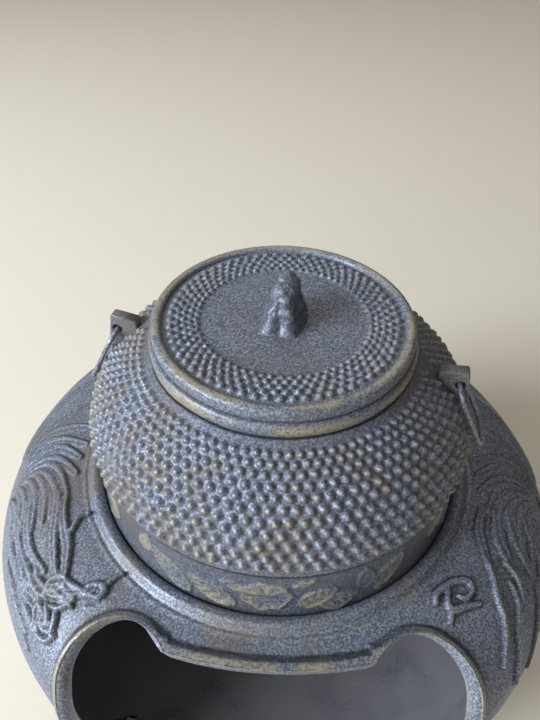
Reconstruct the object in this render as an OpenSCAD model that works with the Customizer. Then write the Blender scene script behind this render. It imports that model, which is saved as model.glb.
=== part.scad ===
// Tea kettle seated in its matching brazier: a round cast iron brazier on three feet, with a fire
// window in front, and a lidded kettle whose band drops into the brazier's mouth.
// Millimetres, +Z up. The origin is on the floor, under the centre. The fire window faces -Y.

/* [Brazier] */
// Diameter at the belly
brazier_d = 324; // [300:1:350]
// Height of the belly's widest line above the floor
belly_z = 120; // [112:1:130]
// Rise from the widest line to the flat of the shoulder
shoulder_rise = 51; // [46:1:58]
// Depth of the bowl below the widest line
bowl_drop = 98; // [90:1:102]
// Radius of the bowl's flat underside
base_r = 60; // [50:1:70]
// Wall of the casting
brazier_wall = 5; // [4:0.5:7]
// Roundness of the section, where 2 is an ellipse and more is squarer
belly_power = 2.4; // [2.1:0.1:2.8]

/* [Brazier mouth] */
// Clear gap between the kettle's flange and the mouth
mouth_gap = 2.7; // [1.5:0.1:4]
// Width of the raised collar round the mouth
collar_w = 9.2; // [7:0.1:12]
// Height of the collar above the shoulder
collar_h = 3.6; // [2:0.1:5]
// Depth of the seat ledge below the shoulder
seat_drop = 9; // [7:0.5:12]
// Thickness of the seat ledge
ledge_t = 5; // [4:0.5:7]
// Gap between the ledge's edge and the kettle's bowl
bowl_gap = 1.5; // [1:0.1:3]

/* [Fire window] */
// Angle between the window's sight line and the floor
window_tilt = 30; // [26:1:34]
// Distance from the mouth out to the middle of the brow
brow_set = 22; // [19:0.5:27]
// Rise of the brow's ends above its middle
brow_sag = 2.2; // [1:0.1:4]
// Half the distance between the centres of the round lobes
lobe_x = 65.3; // [60:0.1:70]
// Radius of each lobe
lobe_r = 29.5; // [26:0.1:31]
// Rise of the lobes above the brow
lobe_rise = 8; // [8:0.1:12]
// Height of the window's sill above the floor
sill_z = 72; // [64:1:84]
// Corner radius at the sill
sill_r = 30; // [20:1:36]
// Width of the raised lip round the window
lip_w = 5.5; // [4:0.1:8]
// Height of the lip above the wall
lip_h = 2.4; // [1.5:0.1:4]

/* [Birds on the shoulder] */
// Height of the birds' feathers above the shoulder
feather_h = 1.5; // [0.8:0.1:2.4]
// Width of a tail feather
tail_w = 5.2; // [4:0.1:6.5]
// Width of a wing feather
wing_w = 5.6; // [4:0.1:7]
// Width of a thin plume
plume_w = 3; // [2.4:0.1:4]

/* [Feet] */
// Radius of the circle that the feet stand on
foot_ring_r = 88; // [78:1:96]
// Radius of a foot's sole
foot_sole_r = 11; // [9:0.5:13]
// Radius of a foot where it meets the bowl
foot_top_r = 20; // [16:0.5:23]

/* [Kettle] */
// Radius of the smooth band, before it spreads to the dome
band_r = 95.6; // [90:0.1:100]
// Height of the band above its seat
band_h = 43.7; // [36:0.1:48]
// Spread of the band from its foot to the dome
band_flare = 0.6; // [0:0.1:2]
// Radius of the dome at its foot
dome_r = 97; // [93:0.1:102]
// Height of the dome's full curve
dome_h = 62.5; // [57:0.5:67]
// Roundness of the dome, where 2 is an ellipse
dome_power = 2.1; // [2:0.05:2.4]
// Radius of the kettle's bowl below the seat
kettle_bowl_r = 86.5; // [80:0.5:90]
// Width of the flange round the bowl, on which the kettle rests
seat_w = 9.1; // [7:0.1:10]
// Depth of the kettle's bowl below the seat
kettle_bowl_h = 74; // [60:1:90]
// Radius of the kettle's flat bottom
kettle_flat_r = 36; // [28:1:44]
// Wall of the kettle
kettle_wall = 4; // [3:0.5:5]
// Air left under the kettle's flange where it rests
seat_gap = 0.3; // [0.2:0.1:0.5]
// Radius of the mouth's opening
neck_r = 51; // [46:0.5:54]
// Outer radius of the bead round the mouth
mouth_bead_r = 63.8; // [62:0.1:66]
// Height of the bead round the mouth
mouth_bead_h = 7.6; // [6:0.1:9]

/* [Hobnails] */
// Hobnails in one row round the dome
nail_count = 96; // [92:4:104]
// Rows of hobnails on the dome
nail_rows = 11; // [8:1:11]
// Distance from the mouth's bead down the dome's wall to the first row
nail_start = 6; // [5:0.1:6.5]
// Distance between rows as a share of the distance between hobnails
nail_spread = 0.895; // [0.84:0.005:0.9]
// Height of a hobnail as a share of the distance between hobnails
nail_rise = 0.2; // [0.12:0.01:0.24]

/* [Lid] */
// Outer radius of the lid's rim
lid_r = 62; // [58:0.5:64]
// Height of the lid's rounded rim
rim_h = 7; // [6:0.1:8]
// Height of the lid's plate above its own underside
plate_t = 4.8; // [4:0.1:6]
// Air left under the lid where it rests
lid_gap = 0.3; // [0.2:0.1:0.5]
// Depth of the locating ring under the lid
lid_ring_h = 7; // [5:0.5:10]
// Thickness of the locating ring
lid_ring_t = 3.5; // [2.5:0.5:5]
// Gap between the locating ring and the mouth
lid_ring_gap = 1; // [0.5:0.1:1.5]

/* [Knob] */
// Height of the knob above the lid's plate
knob_h = 22; // [19:0.5:26]
// Half the knob's width across its foot
knob_half_w = 9.8; // [8:0.1:12]
// Half the knob's depth at its foot
knob_half_d = 13.5; // [10:0.1:16]
// Radius of the knob's tang
tang_r = 3; // [2:0.1:4]
// Radial gap round the tang
tang_gap = 0.1; // [0.05:0.05:0.2]
// Radius of the washer under the lid
washer_r = 8; // [6:0.5:10]
// Thickness of the washer
washer_t = 1.6; // [1:0.1:2.5]

/* [Lugs and rings] */
// Angle from the kettle's right-left line to its lugs, seen from above
lug_turn = -10.5; // [-20:0.5:20]
// Distance from the dome's wall out to the ring's hole, at the hole's height
hole_out = 8.84; // [7.5:0.02:10]
// Drop of the ring's hole below the dome's full height
hole_drop = 23; // [21.5:0.5:24.5]
// Radius of the ring's hole
hole_r = 2.35; // [2:0.05:2.8]
// Thickness of a lug
lug_t = 6; // [5:0.1:7]
// Rise of a lug's top above its hole, at the outer end
lug_top = 8.4; // [7:0.2:9.4]
// Fall of the lug's top towards the kettle
lug_fall = 1.8; // [0:0.2:2.4]
// Distance from the hole in to the lug's free inner end
lug_in = 10.6; // [9.6:0.2:12]
// Wire radius of a ring
wire_r = 1.25; // [1:0.05:1.5]
// Width of a ring between its wire centres
ring_w = 20; // [16:0.5:24]
// Length of a ring between its wire centres
ring_l = 39.5; // [34:0.5:44]
// Angle of a hanging ring from upright, where it lies off the dome
ring_lean = 28; // [26:0.5:34]
// Sag of the wire below the middle of its hole
ring_sag = 0.3; // [0.1:0.05:0.5]
// Half the angle left open in a ring's lower bend
ring_cut = 9; // [5:1:15]
// Width left without hobnails beside a lug
lug_margin = 2.8; // [2.4:0.1:4]
// Height left without hobnails above and below a lug's middle
lug_reach = 14; // [13:0.5:18]

/* [Hidden] */
$fn = 96;

// Heights, from the floor up
foot_h = belly_z - bowl_drop;
shoulder_z = belly_z + shoulder_rise;
seat_z = shoulder_z - seat_drop;
flange_z = seat_z + seat_gap;
dome_z = flange_z + band_h;
neck_z = dome_z + dome_height(mouth_bead_r);
mouth_z = neck_z + mouth_bead_h;
lid_z = mouth_z + lid_gap;
plate_z = lid_z + plate_t;

// Radii
belly_r = brazier_d / 2;
flange_r = kettle_bowl_r + seat_w;
mouth_r = flange_r + mouth_gap;
collar_r = mouth_r + collar_w;
shoulder_r = mouth_r + collar_w / 2;
ledge_r = kettle_bowl_r + bowl_gap;
step_back = 1;

// Place of a ring's hole: height above the dome's foot, and distance from the axis
hole_h = dome_h - hole_drop;
hole_x = dome_radius(hole_h) + hole_out;

cast_iron = [0.30, 0.31, 0.34];
worn_iron = [0.40, 0.37, 0.32];
wire_iron = [0.24, 0.25, 0.27];
wall_steps = 22;

// The dome's wall and the brazier's shoulder as lines of [radius, height], from the top down
dome_line = upper_points(0);
shoulder_line = quarter_points(shoulder_r, belly_r, shoulder_rise, belly_power);

// Height of a rounded quarter section at radius r: full at radius flat, none at radius rim
function quarter(r, flat, rim, rise, power) =
    rise * pow(max(0, 1 - pow(max(0, (r - flat) / (rim - flat)), power)), 1 / power);

// Height of the kettle's dome above its foot at radius r
function dome_height(r) = quarter(r, 0, dome_r, dome_h, dome_power);

// Radius of the kettle's dome at height h above its foot
function dome_radius(h) = quarter(h, 0, dome_h, dome_r, dome_power);

// Points of a quarter section from its flat top [flat, rise] to its rim [rim, 0]
function quarter_points(flat, rim, rise, power) = [
    for (i = [0:wall_steps])
        let (t = 90 * i / wall_steps)
        [flat + (rim - flat) * pow(sin(t), 2 / power), rise * pow(cos(t), 2 / power)]
];

// Place at distance s down a line of points, and the direction of the line there
function walk(line, s, i = 0) =
    let (step = line[i + 1] - line[i], run = norm(step))
    s <= run || i == len(line) - 2 ? [line[i] + step * s / run, step / run]
        : walk(line, s - run, i + 1);

// Outer radius of the brazier at height z on its bowl
function bowl_r(z) = base_r + (belly_r - base_r)
    * pow(1 - pow((belly_z - z) / bowl_drop, belly_power), 1 / belly_power);

// Solid inside a skin that lies d outside the brazier's wall, or inside it where d is negative
module brazier_solid(d) {
    top = quarter_points(shoulder_r, belly_r + d, shoulder_rise + d, belly_power);
    low = quarter_points(base_r, belly_r + d, bowl_drop + d, belly_power);
    rotate_extrude(convexity = 4)
        polygon(concat(
            [[0, belly_z - bowl_drop - d], [0, shoulder_z + d]],
            [for (p = top) [p[0], belly_z + p[1]]],
            [for (i = [wall_steps - 1:-1:0]) [low[i][0], belly_z - low[i][1]]]
        ));
}

// The window's places on a sheet that faces its sight line
function sheet_v(y, z) = y * sin(window_tilt) + z * cos(window_tilt);
brow_v = sheet_v(-(mouth_r + brow_set), shoulder_z);
lobe_v = brow_v + lobe_rise - lobe_r;
sill_v = sheet_v(-bowl_r(sill_z), sill_z);
cusp_x = lobe_x - lobe_r * 0.68;
brow_arc = (cusp_x * cusp_x + brow_sag * brow_sag) / (2 * brow_sag);
window_half = lobe_x + lobe_r;
// Share of the lip's width that the sheet shows where the wall lies flat under it
lip_slant = 0.5;

// Outline of the window, grown by g along the wall
module window_outline(g) {
    v_low = sill_v - g;
    v_lobe = lobe_v - g * (1 - lip_slant);
    r_lobe = lobe_r + g;
    r_sill = sill_r + g;
    v_top = brow_v + brow_sag + g * lip_slant;
    for (s = [-1, 1]) {
        translate([s * lobe_x, v_lobe]) circle(r_lobe);
        translate([s * (window_half - sill_r), sill_v + sill_r]) circle(r_sill);
    }
    translate([-window_half - g, sill_v + sill_r])
        square([2 * (window_half + g), v_lobe - sill_v - sill_r]);
    translate([-window_half + sill_r, v_low])
        square([2 * (window_half - sill_r), sill_r + g + 1]);
    difference() {
        translate([-lobe_x, v_lobe - 1]) square([2 * lobe_x, v_top - v_lobe + 1]);
        translate([0, brow_v + g * lip_slant + brow_arc]) circle(brow_arc, $fn = 360);
    }
}

// Tool that sweeps the window's outline along its sight line, through the front wall only
module window_tool(g) {
    inner_end = belly_r * 0.72;
    rotate([90 - window_tilt, 0, 0])
        translate([0, 0, inner_end])
            linear_extrude(belly_r)
                window_outline(g);
}

// Ring section: seat ledge, mouth wall and rounded collar
module mouth_ring() {
    collar_top = shoulder_z + collar_h;
    crest = collar_w * 0.42;
    rotate_extrude(convexity = 4)
        polygon(concat(
            [[ledge_r, seat_z - ledge_t], [ledge_r, seat_z], [mouth_r, seat_z]],
            [for (t = [180:-15:90]) [mouth_r + crest + crest * cos(t), shoulder_z + collar_h * sin(t)]],
            [for (t = [75:-15:0]) [mouth_r + crest + (collar_w - crest) * cos(t),
                shoulder_z + collar_h * pow(sin(t), 1.4)]],
            [[collar_r, shoulder_z - brazier_wall], [mouth_r + 2, shoulder_z - brazier_wall - 3],
                [mouth_r, seat_z - ledge_t]]
        ));
}

// Lines of the birds' feathers: each place is an angle from the window, to either side, and a
// distance down the shoulder from the collar
tail_feathers = [
    [[90, 52], [102, 54], [113, 50], [122, 40]], [[88, 46], [98, 44], [107, 38], [114, 26]],
    [[87, 42], [93, 37], [98, 28], [104, 12]], [[86, 42], [92, 33], [94, 20], [95, 3]],
    [[85, 41], [89, 30], [90, 19], [88, 4]], [[83, 37], [86, 28], [87, 18], [83.5, 6]],
    [[83, 37], [84, 25], [82, 15], [78, 7]], [[82, 36], [82, 25], [79, 17], [72, 12]],
    [[81, 37], [80, 27], [74, 19], [67, 20]], [[79, 43], [79, 36], [74, 31], [66, 33]]
];
left_wing = [
    [[74, 42], [67, 39], [61, 37], [56, 35], [51, 33]], [[74, 51], [67, 48], [60, 45], [54, 43], [49, 39]],
    [[73, 16], [67, 14], [61, 19], [56, 25], [53, 32]], [[51, 25], [47, 22], [44, 18], [41.5, 13]]
];
left_plumes = [
    [[65, 52], [57, 52], [53, 53], [48, 58]], [[49, 32], [46, 31], [44, 26], [44, 23]],
    [[56, 45], [50, 46], [47, 45], [44, 41]], [[56, 52], [50, 52], [47, 50], [43.5, 45]]
];
right_wing = [
    [[74, 15], [68, 17], [64, 22], [61, 30]], [[76, 22], [71, 25], [67, 31], [64, 40]],
    [[78, 30], [74, 34], [70, 42], [66, 50]]
];
right_plumes = [
    [[73, 8], [66, 8], [62, 12], [58, 18]], [[59, 16], [56, 22], [53, 28], [51, 35], [48, 42], [45, 49]],
    [[41, 9], [43, 6.5], [48, 8], [51, 13], [50, 17]], [[43.5, 12], [43, 16], [46, 19], [49, 23]]
];

// Share of a feather's width that its tips keep, as a divisor of the width
tip_share = 5;

// Plan of one feather, drawn along its line and narrow at both ends
module feather(places, width) {
    line = [for (p = places)
        let (r = walk(shoulder_line, p[1] + collar_w / 2)[0][0])
        [r * sin(p[0]), -r * cos(p[0])]];
    last = len(line) - 1;
    aside = [for (i = [0:last])
        let (run = line[min(i + 1, last)] - line[max(i - 1, 0)])
        [run[1], -run[0]] / norm(run) * width / (i == 0 || i == last ? tip_share : 2)];
    polygon(concat([for (i = [0:last]) line[i] + aside[i]], [for (i = [last:-1:0]) line[i] - aside[i]]));
}

module bird(hand, wing, plumes) {
    mirror([hand > 0 ? 0 : 1, 0]) {
        for (places = tail_feathers) feather(places, tail_w);
        for (places = wing) feather(places, wing_w);
        for (places = plumes) feather(places, plume_w);
    }
}

// Two long-tailed birds in low relief, one on each side of the window
module birds() {
    intersection() {
        difference() {
            brazier_solid(feather_h);
            brazier_solid(-brazier_wall / 2);
            window_tool(lip_w);
        }
        translate([0, 0, belly_z + 4])
            linear_extrude(2 * shoulder_rise) {
                bird(-1, left_wing, left_plumes);
                bird(1, right_wing, right_plumes);
            }
    }
}

module window_lip() {
    intersection() {
        difference() {
            brazier_solid(lip_h);
            brazier_solid(-brazier_wall / 2);
        }
        difference() {
            window_tool(lip_w);
            window_tool(0);
        }
    }
}

module brazier() {
    color(cast_iron) {
        difference() {
            brazier_solid(0);
            brazier_solid(-brazier_wall);
            translate([0, 0, seat_z - ledge_t]) cylinder(h = 40, r = mouth_r + 0.5);
            window_tool(0);
        }
        window_lip();
        birds();
        mouth_ring();
    }
}

// A stub foot, cut on top to the bowl that it carries
module foot(turn) {
    waist = foot_sole_r * 0.9;
    color(cast_iron)
        difference() {
            rotate([0, 0, turn])
                translate([0, -foot_ring_r, 0])
                    rotate_extrude()
                        polygon([[0, 0], [foot_sole_r - 1.5, 0], [foot_sole_r, 1.5], [foot_sole_r, 4],
                            [waist, foot_h * 0.4], [foot_sole_r * 1.2, foot_h * 0.7],
                            [foot_top_r, foot_h + 2], [foot_top_r, foot_h + 18], [0, foot_h + 18]]);
            brazier_solid(0);
        }
}

module foot_front() { foot(0); }
module foot_left() { foot(-120); }
module foot_right() { foot(120); }

// Kettle's outer skin above the seat, moved in by d: the band, its step, the dome
function upper_points(d) = concat(
    [for (i = [0:wall_steps])
        let (r = mouth_bead_r + (dome_r - mouth_bead_r) * sin(90 * i / wall_steps))
        [r - d * r / dome_r, dome_z + dome_height(r) * (1 - d / dome_h)]],
    [[band_r + band_flare - d, dome_z - 2 * step_back], [flange_r - d, flange_z + (d > 0 ? d : 0)]]
);

// Kettle's bowl below the seat, moved in by d
function bowl_points(d) = [
    for (i = [wall_steps:-1:0])
        let (p = quarter_points(kettle_flat_r, kettle_bowl_r - d, kettle_bowl_h - d, dome_power)[i])
        [p[0], flange_z - p[1]]
];

// The kettle as if it were cast full, from its mouth bead down to its flat bottom
module kettle_solid() {
    bead_mid = neck_z + mouth_bead_h / 2;
    bead_depth = 2.4;
    rotate_extrude(convexity = 6)
        polygon(concat(
            [[0, mouth_z]],
            [for (t = [90:-15:-90]) [mouth_bead_r - bead_depth + bead_depth * cos(t),
                bead_mid + mouth_bead_h / 2 * sin(t)]],
            upper_points(0),
            bowl_points(0),
            [[0, flange_z - kettle_bowl_h]]
        ));
}

// Distance between the hobnails of the row at distance s down the dome
function nail_gap(s) = 2 * PI * walk(dome_line, s)[0][0] / nail_count;

// Distances down the dome of the rows from the one at s on
function nail_lines(s, rows) =
    rows == 0 ? [] : concat([s], nail_lines(s + nail_spread * nail_gap(s), rows - 1));

// Whether step i round the dome, at distance s down it, is next to a lug, where no hobnail stands
function by_lug(s, i) =
    let (place = walk(dome_line, s)[0])
    let (off = ((i * 360 / nail_count - 90 - lug_turn) % 180 + 270) % 180 - 90)
    place[0] * sin(abs(off)) < lug_t / 2 + lug_margin
        && abs(place[1] - dome_z - hole_h + lug_reach / 4) < lug_reach;

// Depth inside the wall of the places without hobnails
nail_sunk = 0.5;

// Point at distance s down the dome, step i of a row, lifted off the wall by up
function nail_point(s, i, up) =
    let (spot = walk(dome_line, s), turn = 360 * i / nail_count)
    let (h = by_lug(s, i) ? -nail_sunk : up)
    let (r = spot[0][0] - spot[1][1] * h, z = spot[0][1] + spot[1][0] * h)
    [r * sin(turn), -r * cos(turn), z];

// Skin of low six-sided hobnails in staggered rows, its hollows just proud of the dome's wall
module hobnails() {
    proud = 0.12;
    n = nail_count;
    lines = nail_lines(nail_start, nail_rows + 1);
    margin = nail_spread * nail_gap(nail_start) / 2;
    foot_line = lines[nail_rows] - nail_spread * nail_gap(lines[nail_rows]) / 2;
    tips = [for (k = [0:nail_rows - 1], i = [0:n - 1])
        nail_point(lines[k], i + k / 2, nail_rise * nail_gap(lines[k]))];
    hollows = [for (g = [0:nail_rows], j = [0:2 * n - 1])
        let (s = g == 0 ? nail_start - margin : g == nail_rows ? foot_line
            : lines[g - 1] + (lines[g] - lines[g - 1]) * (1 + j % 2) / 3)
        nail_point(s, (j + g) / 2, proud)];
    start = n * nail_rows;
    wide = 2 * n;
    sides = [for (k = [0:nail_rows - 1], i = [0:n - 1])
        let (up = start + k * wide, low = up + wide, a = (2 * i + wide - 2) % wide)
        let (b = (a + 1) % wide, c = 2 * i, d = (c + 1) % wide)
        let (corners = [up + b, up + c, up + d, low + c, low + b, low + a])
        for (e = [0:5]) [k * n + i, corners[(e + 1) % 6], corners[e]]];
    rim = start + nail_rows * wide;
    polyhedron(concat(tips, hollows), concat(sides,
        [[for (j = [wide - 1:-1:0]) start + j]], [[for (j = [0:wide - 1]) rim + j]]));
}

module kettle() {
    inner = concat(
        [[0, mouth_z + 1], [neck_r, mouth_z + 1], [neck_r, neck_z - kettle_wall]],
        upper_points(kettle_wall),
        bowl_points(kettle_wall),
        [[0, flange_z - kettle_bowl_h + kettle_wall]]
    );
    color(cast_iron)
        difference() {
            union() {
                kettle_solid();
                hobnails();
            }
            rotate_extrude(convexity = 6) polygon(inner);
        }
}

// Place for what belongs to the lug at the given side: +X points outwards from the axis
module at_lug(side) {
    rotate([0, 0, lug_turn + (side > 0 ? 0 : 180)])
        translate([hole_x, 0, dome_z + hole_h])
            children();
}

module lug(side) {
    nose = 1.8;
    foot_out = 5.5;
    foot_drop = 14;
    color(cast_iron)
        difference() {
            at_lug(side)
                rotate([90, 0, 0])
                    difference() {
                        translate([0, 0, -lug_t / 2])
                            linear_extrude(lug_t)
                                polygon([[-lug_in, lug_top - lug_fall], [nose, lug_top],
                                    [nose + 1, lug_top - 1], [foot_out, -foot_drop / 2],
                                    [foot_out - 0.8, -foot_drop * 0.68], [-3, -foot_drop],
                                    [-lug_in, -foot_drop]]);
                        translate([0, 0, -lug_t]) cylinder(h = 2 * lug_t, r = hole_r);
                    }
            kettle_solid();
        }
}

module lug_left() { lug(-1); }
module lug_right() { lug(1); }

// A long wire ring, open at the lower bend, hanging down -Y from the middle of its top bend
module wire_ring() {
    bend = ring_w / 2;
    straight = ring_l - ring_w;
    cut_at = 240;
    cut_w = 2 * bend * sin(ring_cut);
    module wire_bend() {
        rotate_extrude(angle = 180) translate([bend, 0]) circle(wire_r, $fn = 24);
    }
    difference() {
        union() {
            translate([0, -bend, 0]) wire_bend();
            for (s = [-1, 1])
                translate([s * bend, -bend, 0])
                    rotate([90, 0, 0]) cylinder(h = straight, r = wire_r, $fn = 24);
            translate([0, -bend - straight, 0]) rotate([0, 0, 180]) wire_bend();
        }
        translate([0, -bend - straight, 0])
            rotate([0, 0, cut_at])
                translate([bend / 2, -cut_w / 2, -2 * wire_r]) cube([bend, cut_w, 4 * wire_r]);
    }
}

// The ring's plane holds the hole's axis and leans out from the dome
module ring(side) {
    color(wire_iron)
        at_lug(side)
            translate([0, 0, -ring_sag])
                rotate([0, -ring_lean, 0])
                    rotate([90, 0, 90])
                        mirror([side > 0 ? 0 : 1, 0, 0])
                            wire_ring();
}

module ring_left() { ring(-1); }
module ring_right() { ring(1); }

module lid() {
    bead_w = 5.4;
    ring_r = neck_r - lid_ring_gap;
    color(worn_iron)
        difference() {
            rotate_extrude(convexity = 6)
                polygon(concat(
                    [[0, lid_z], [ring_r - lid_ring_t, lid_z], [ring_r - lid_ring_t, lid_z - lid_ring_h],
                        [ring_r, lid_z - lid_ring_h], [ring_r, lid_z], [lid_r - 1.2, lid_z]],
                    [for (t = [-60:15:90]) [lid_r - bead_w / 2 + bead_w / 2 * cos(t),
                        lid_z + rim_h / 2 * (1 + sin(t))]],
                    [for (t = [105:15:165]) [lid_r - bead_w / 2 + bead_w / 2 * cos(t),
                        plate_z + (rim_h - plate_t) * sin(t)]],
                    [[lid_r - bead_w, plate_z], [0, plate_z]]
                ));
            translate([0, 0, lid_z - 1]) cylinder(h = plate_t + 2, r = tang_r + tang_gap);
        }
}

// One lump of the knob: a squashed ball at a share of the knob's height
module lump(back, share, w, d, t) {
    translate([0, back, plate_z + share * knob_h])
        scale([w * knob_half_w, d * knob_half_d, t]) sphere(1, $fn = 28);
}

// A stepped crag as deep as it is high, with a round tang down through the lid
module knob() {
    tip = knob_h * 0.18;
    tail_z = lid_z - washer_t;
    head_h = 2.2;
    color(cast_iron) {
        intersection() {
            rotate([0, 0, lug_turn])
                union() {
                    hull() {
                        lump(0, 0, 1, 1, 3);
                        lump(0.5, 0.36, 0.78, 0.76, 3);
                    }
                    hull() {
                        lump(0.5, 0.36, 0.75, 0.73, 3);
                        lump(1.5, 0.66, 0.6, 0.52, 3);
                    }
                    hull() {
                        lump(1.5, 0.64, 0.56, 0.48, 3);
                        lump(2.5, 1 - tip / knob_h, 0.44, 0.33, tip);
                    }
                }
            translate([0, 0, plate_z]) cylinder(h = 2 * knob_h, r = 2 * knob_half_d);
        }
        translate([0, 0, tail_z]) cylinder(h = plate_z + 1 - tail_z, r = tang_r);
        translate([0, 0, tail_z - head_h]) cylinder(h = head_h, r1 = tang_r * 0.7, r2 = tang_r * 1.5);
    }
}

module knob_washer() {
    color(wire_iron)
        translate([0, 0, lid_z - washer_t])
            difference() {
                cylinder(h = washer_t, r = washer_r);
                translate([0, 0, -1]) cylinder(h = washer_t + 2, r = tang_r + tang_gap);
            }
}

brazier();
foot_front();
foot_left();
foot_right();
kettle();
lug_left();
lug_right();
ring_left();
ring_right();
lid();
knob();
knob_washer();
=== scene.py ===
# %% [markdown]
# # A cast iron tea kettle on its brazier
#
# The set has two large sand castings. The lower one is a round brazier with a raised collar
# round its mouth and a fire window in front. The upper one is a kettle whose flange sits
# on a ledge just inside that mouth. This script dresses the two castings, the lid, its knob,
# the lugs and the rings. Everything is built in code, from a few radii and heights.

# %% Load the frame
import math

import bpy
import numpy as np
from mathutils import Matrix, Vector, noise


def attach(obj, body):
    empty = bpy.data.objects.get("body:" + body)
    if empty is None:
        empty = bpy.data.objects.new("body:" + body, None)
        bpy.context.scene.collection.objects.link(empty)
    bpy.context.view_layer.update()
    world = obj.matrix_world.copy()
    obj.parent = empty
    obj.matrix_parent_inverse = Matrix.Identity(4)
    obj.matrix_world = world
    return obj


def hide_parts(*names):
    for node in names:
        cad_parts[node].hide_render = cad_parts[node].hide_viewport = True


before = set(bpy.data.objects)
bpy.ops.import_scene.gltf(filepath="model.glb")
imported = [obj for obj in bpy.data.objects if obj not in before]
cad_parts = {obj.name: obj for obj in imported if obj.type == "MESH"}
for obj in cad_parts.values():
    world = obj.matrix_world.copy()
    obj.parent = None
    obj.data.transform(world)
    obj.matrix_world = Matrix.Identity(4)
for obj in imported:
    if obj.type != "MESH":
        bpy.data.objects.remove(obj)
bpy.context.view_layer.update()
MM = 0.001

# %% [markdown]
# ## Where the viewer stands
#
# A tea room guest kneels and looks down on the kettle. The camera is placed the same way: about
# 44 cm above the floor, turned down by some 42 degrees, very slightly turned and rolled. Giving
# Blender the three axes of the camera as a matrix is plainer than chaining three rotations.

# %% Camera
EYE = Vector((0.0, -217.55, 438.62)) * MM
LOOK_DOWN = math.radians(42.405)
TURN = math.radians(-1.574)
ROLL = math.radians(1.358)
LENS = 29.4

ahead = Vector((math.sin(TURN) * math.cos(LOOK_DOWN), math.cos(TURN) * math.cos(LOOK_DOWN),
                -math.sin(LOOK_DOWN)))
level = Vector((math.cos(TURN), -math.sin(TURN), 0.0))
upward = level.cross(ahead)
side_axis = level * math.cos(ROLL) + upward * math.sin(ROLL)
top_axis = upward * math.cos(ROLL) - level * math.sin(ROLL)

camera_data = bpy.data.cameras.new("camera")
camera_data.lens = LENS
camera_data.sensor_width = 36.0
camera_data.clip_end = 50.0
camera = bpy.data.objects.new("camera", camera_data)
bpy.context.scene.collection.objects.link(camera)
camera.matrix_world = Matrix((
    (side_axis.x, top_axis.x, -ahead.x, EYE.x),
    (side_axis.y, top_axis.y, -ahead.y, EYE.y),
    (side_axis.z, top_axis.z, -ahead.z, EYE.z),
    (0.0, 0.0, 0.0, 1.0),
))
bpy.context.scene.camera = camera
print("camera looks down by", round(math.degrees(LOOK_DOWN), 1), "degrees")

# %% [markdown]
# ## Sizes shared with the solids
#
# These are the main radii and heights of the castings, in millimetres. The dressed castings
# follow the same curves as the plain solids, so that they sit in each other in the same way.

# %% Sizes in millimetres
FLOOR_GAP = 22.0
BELLY_Z = 120.0
BELLY_R = 162.0
SHOULDER_RISE = 51.0
SHOULDER_Z = BELLY_Z + SHOULDER_RISE
BASE_R = 60.0
BOWL_H = BELLY_Z - FLOOR_GAP
WALL = 5.0
BELLY_POWER = 2.4
SEAT_Z = 162.0
LEDGE_R = 88.0
LEDGE_T = 5.0
MOUTH_R = 98.3
COLLAR_W = 9.2
COLLAR_H = 3.6
COLLAR_R = MOUTH_R + COLLAR_W
SHOULDER_R = MOUTH_R + COLLAR_W / 2
FLANGE_Z = 162.3
BAND_R = 95.6
BAND_TOP_R = 96.2
DOME_R = 97.0
DOME_Z = 206.0
DOME_H = 62.5
DOME_POWER = 2.1
NECK_R = 51.0
MOUTH_BEAD_R = 63.8
BEAD_DEPTH = 2.4
MOUTH_Z = 262.0
KETTLE_BOWL_R = 86.5
KETTLE_BOWL_H = 74.0
KETTLE_FLAT_R = 36.0
KETTLE_WALL = 4.0
LID_R = 62.0
LID_Z = 262.3
LID_RIM_H = 7.0
PLATE_Z = 267.1
LUG_TURN = math.radians(-10.5)


def quarter(r, flat, rim, rise, power):
    """Height of a rounded quarter section: full at radius flat, none at radius rim."""
    u = np.clip((np.asarray(r, float) - flat) / (rim - flat), 0.0, 1.0)
    return rise * (1.0 - u ** power) ** (1.0 / power)


def quarter_curve(flat, rim, rise, power, steps):
    """Points (radius, height) along that section, from its flat top to its rim."""
    t = np.linspace(0.0, math.pi / 2, steps)
    r = flat + (rim - flat) * np.sin(t) ** (2.0 / power)
    return np.stack([r, rise * np.cos(t).clip(0) ** (2.0 / power)], 1)


def along(curve, distances):
    """Points at the given distances along a curve of (radius, height) points."""
    step = np.hypot(*np.diff(curve, axis=0).T)
    run = np.concatenate([[0.0], np.cumsum(step)])
    return np.stack([np.interp(distances, run, curve[:, k]) for k in (0, 1)], 1)


def length_of(curve):
    return float(np.hypot(*np.diff(curve, axis=0).T).sum())


print("dome is", round(DOME_Z + float(quarter(MOUTH_BEAD_R, 0, DOME_R, DOME_H, DOME_POWER)), 1),
      "mm high at the neck")

# %% [markdown]
# ## Turned surfaces
#
# Round castings are swept in sand with a profile board, so each one is a turned surface. The
# helper below keeps such a surface as a grid: one row for each point of the profile, one column
# for each angle. A grid is easy to press ornament into, because each point of it can be moved
# along its own normal by a height that a formula gives.

# %% Helpers for turned surfaces
FRONT = -math.pi / 2


def ring_angles(count):
    """Evenly spaced angles round the axis, from the front."""
    return np.arange(count) * (2.0 * math.pi / count)


def profile_normals(profile):
    """Outward normals of a profile that runs outwards and down."""
    tangent = np.gradient(profile, axis=0)
    tangent /= np.maximum(np.hypot(*tangent.T), 1e-9)[:, None]
    return np.stack([-tangent[:, 1], tangent[:, 0]], 1)


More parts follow.
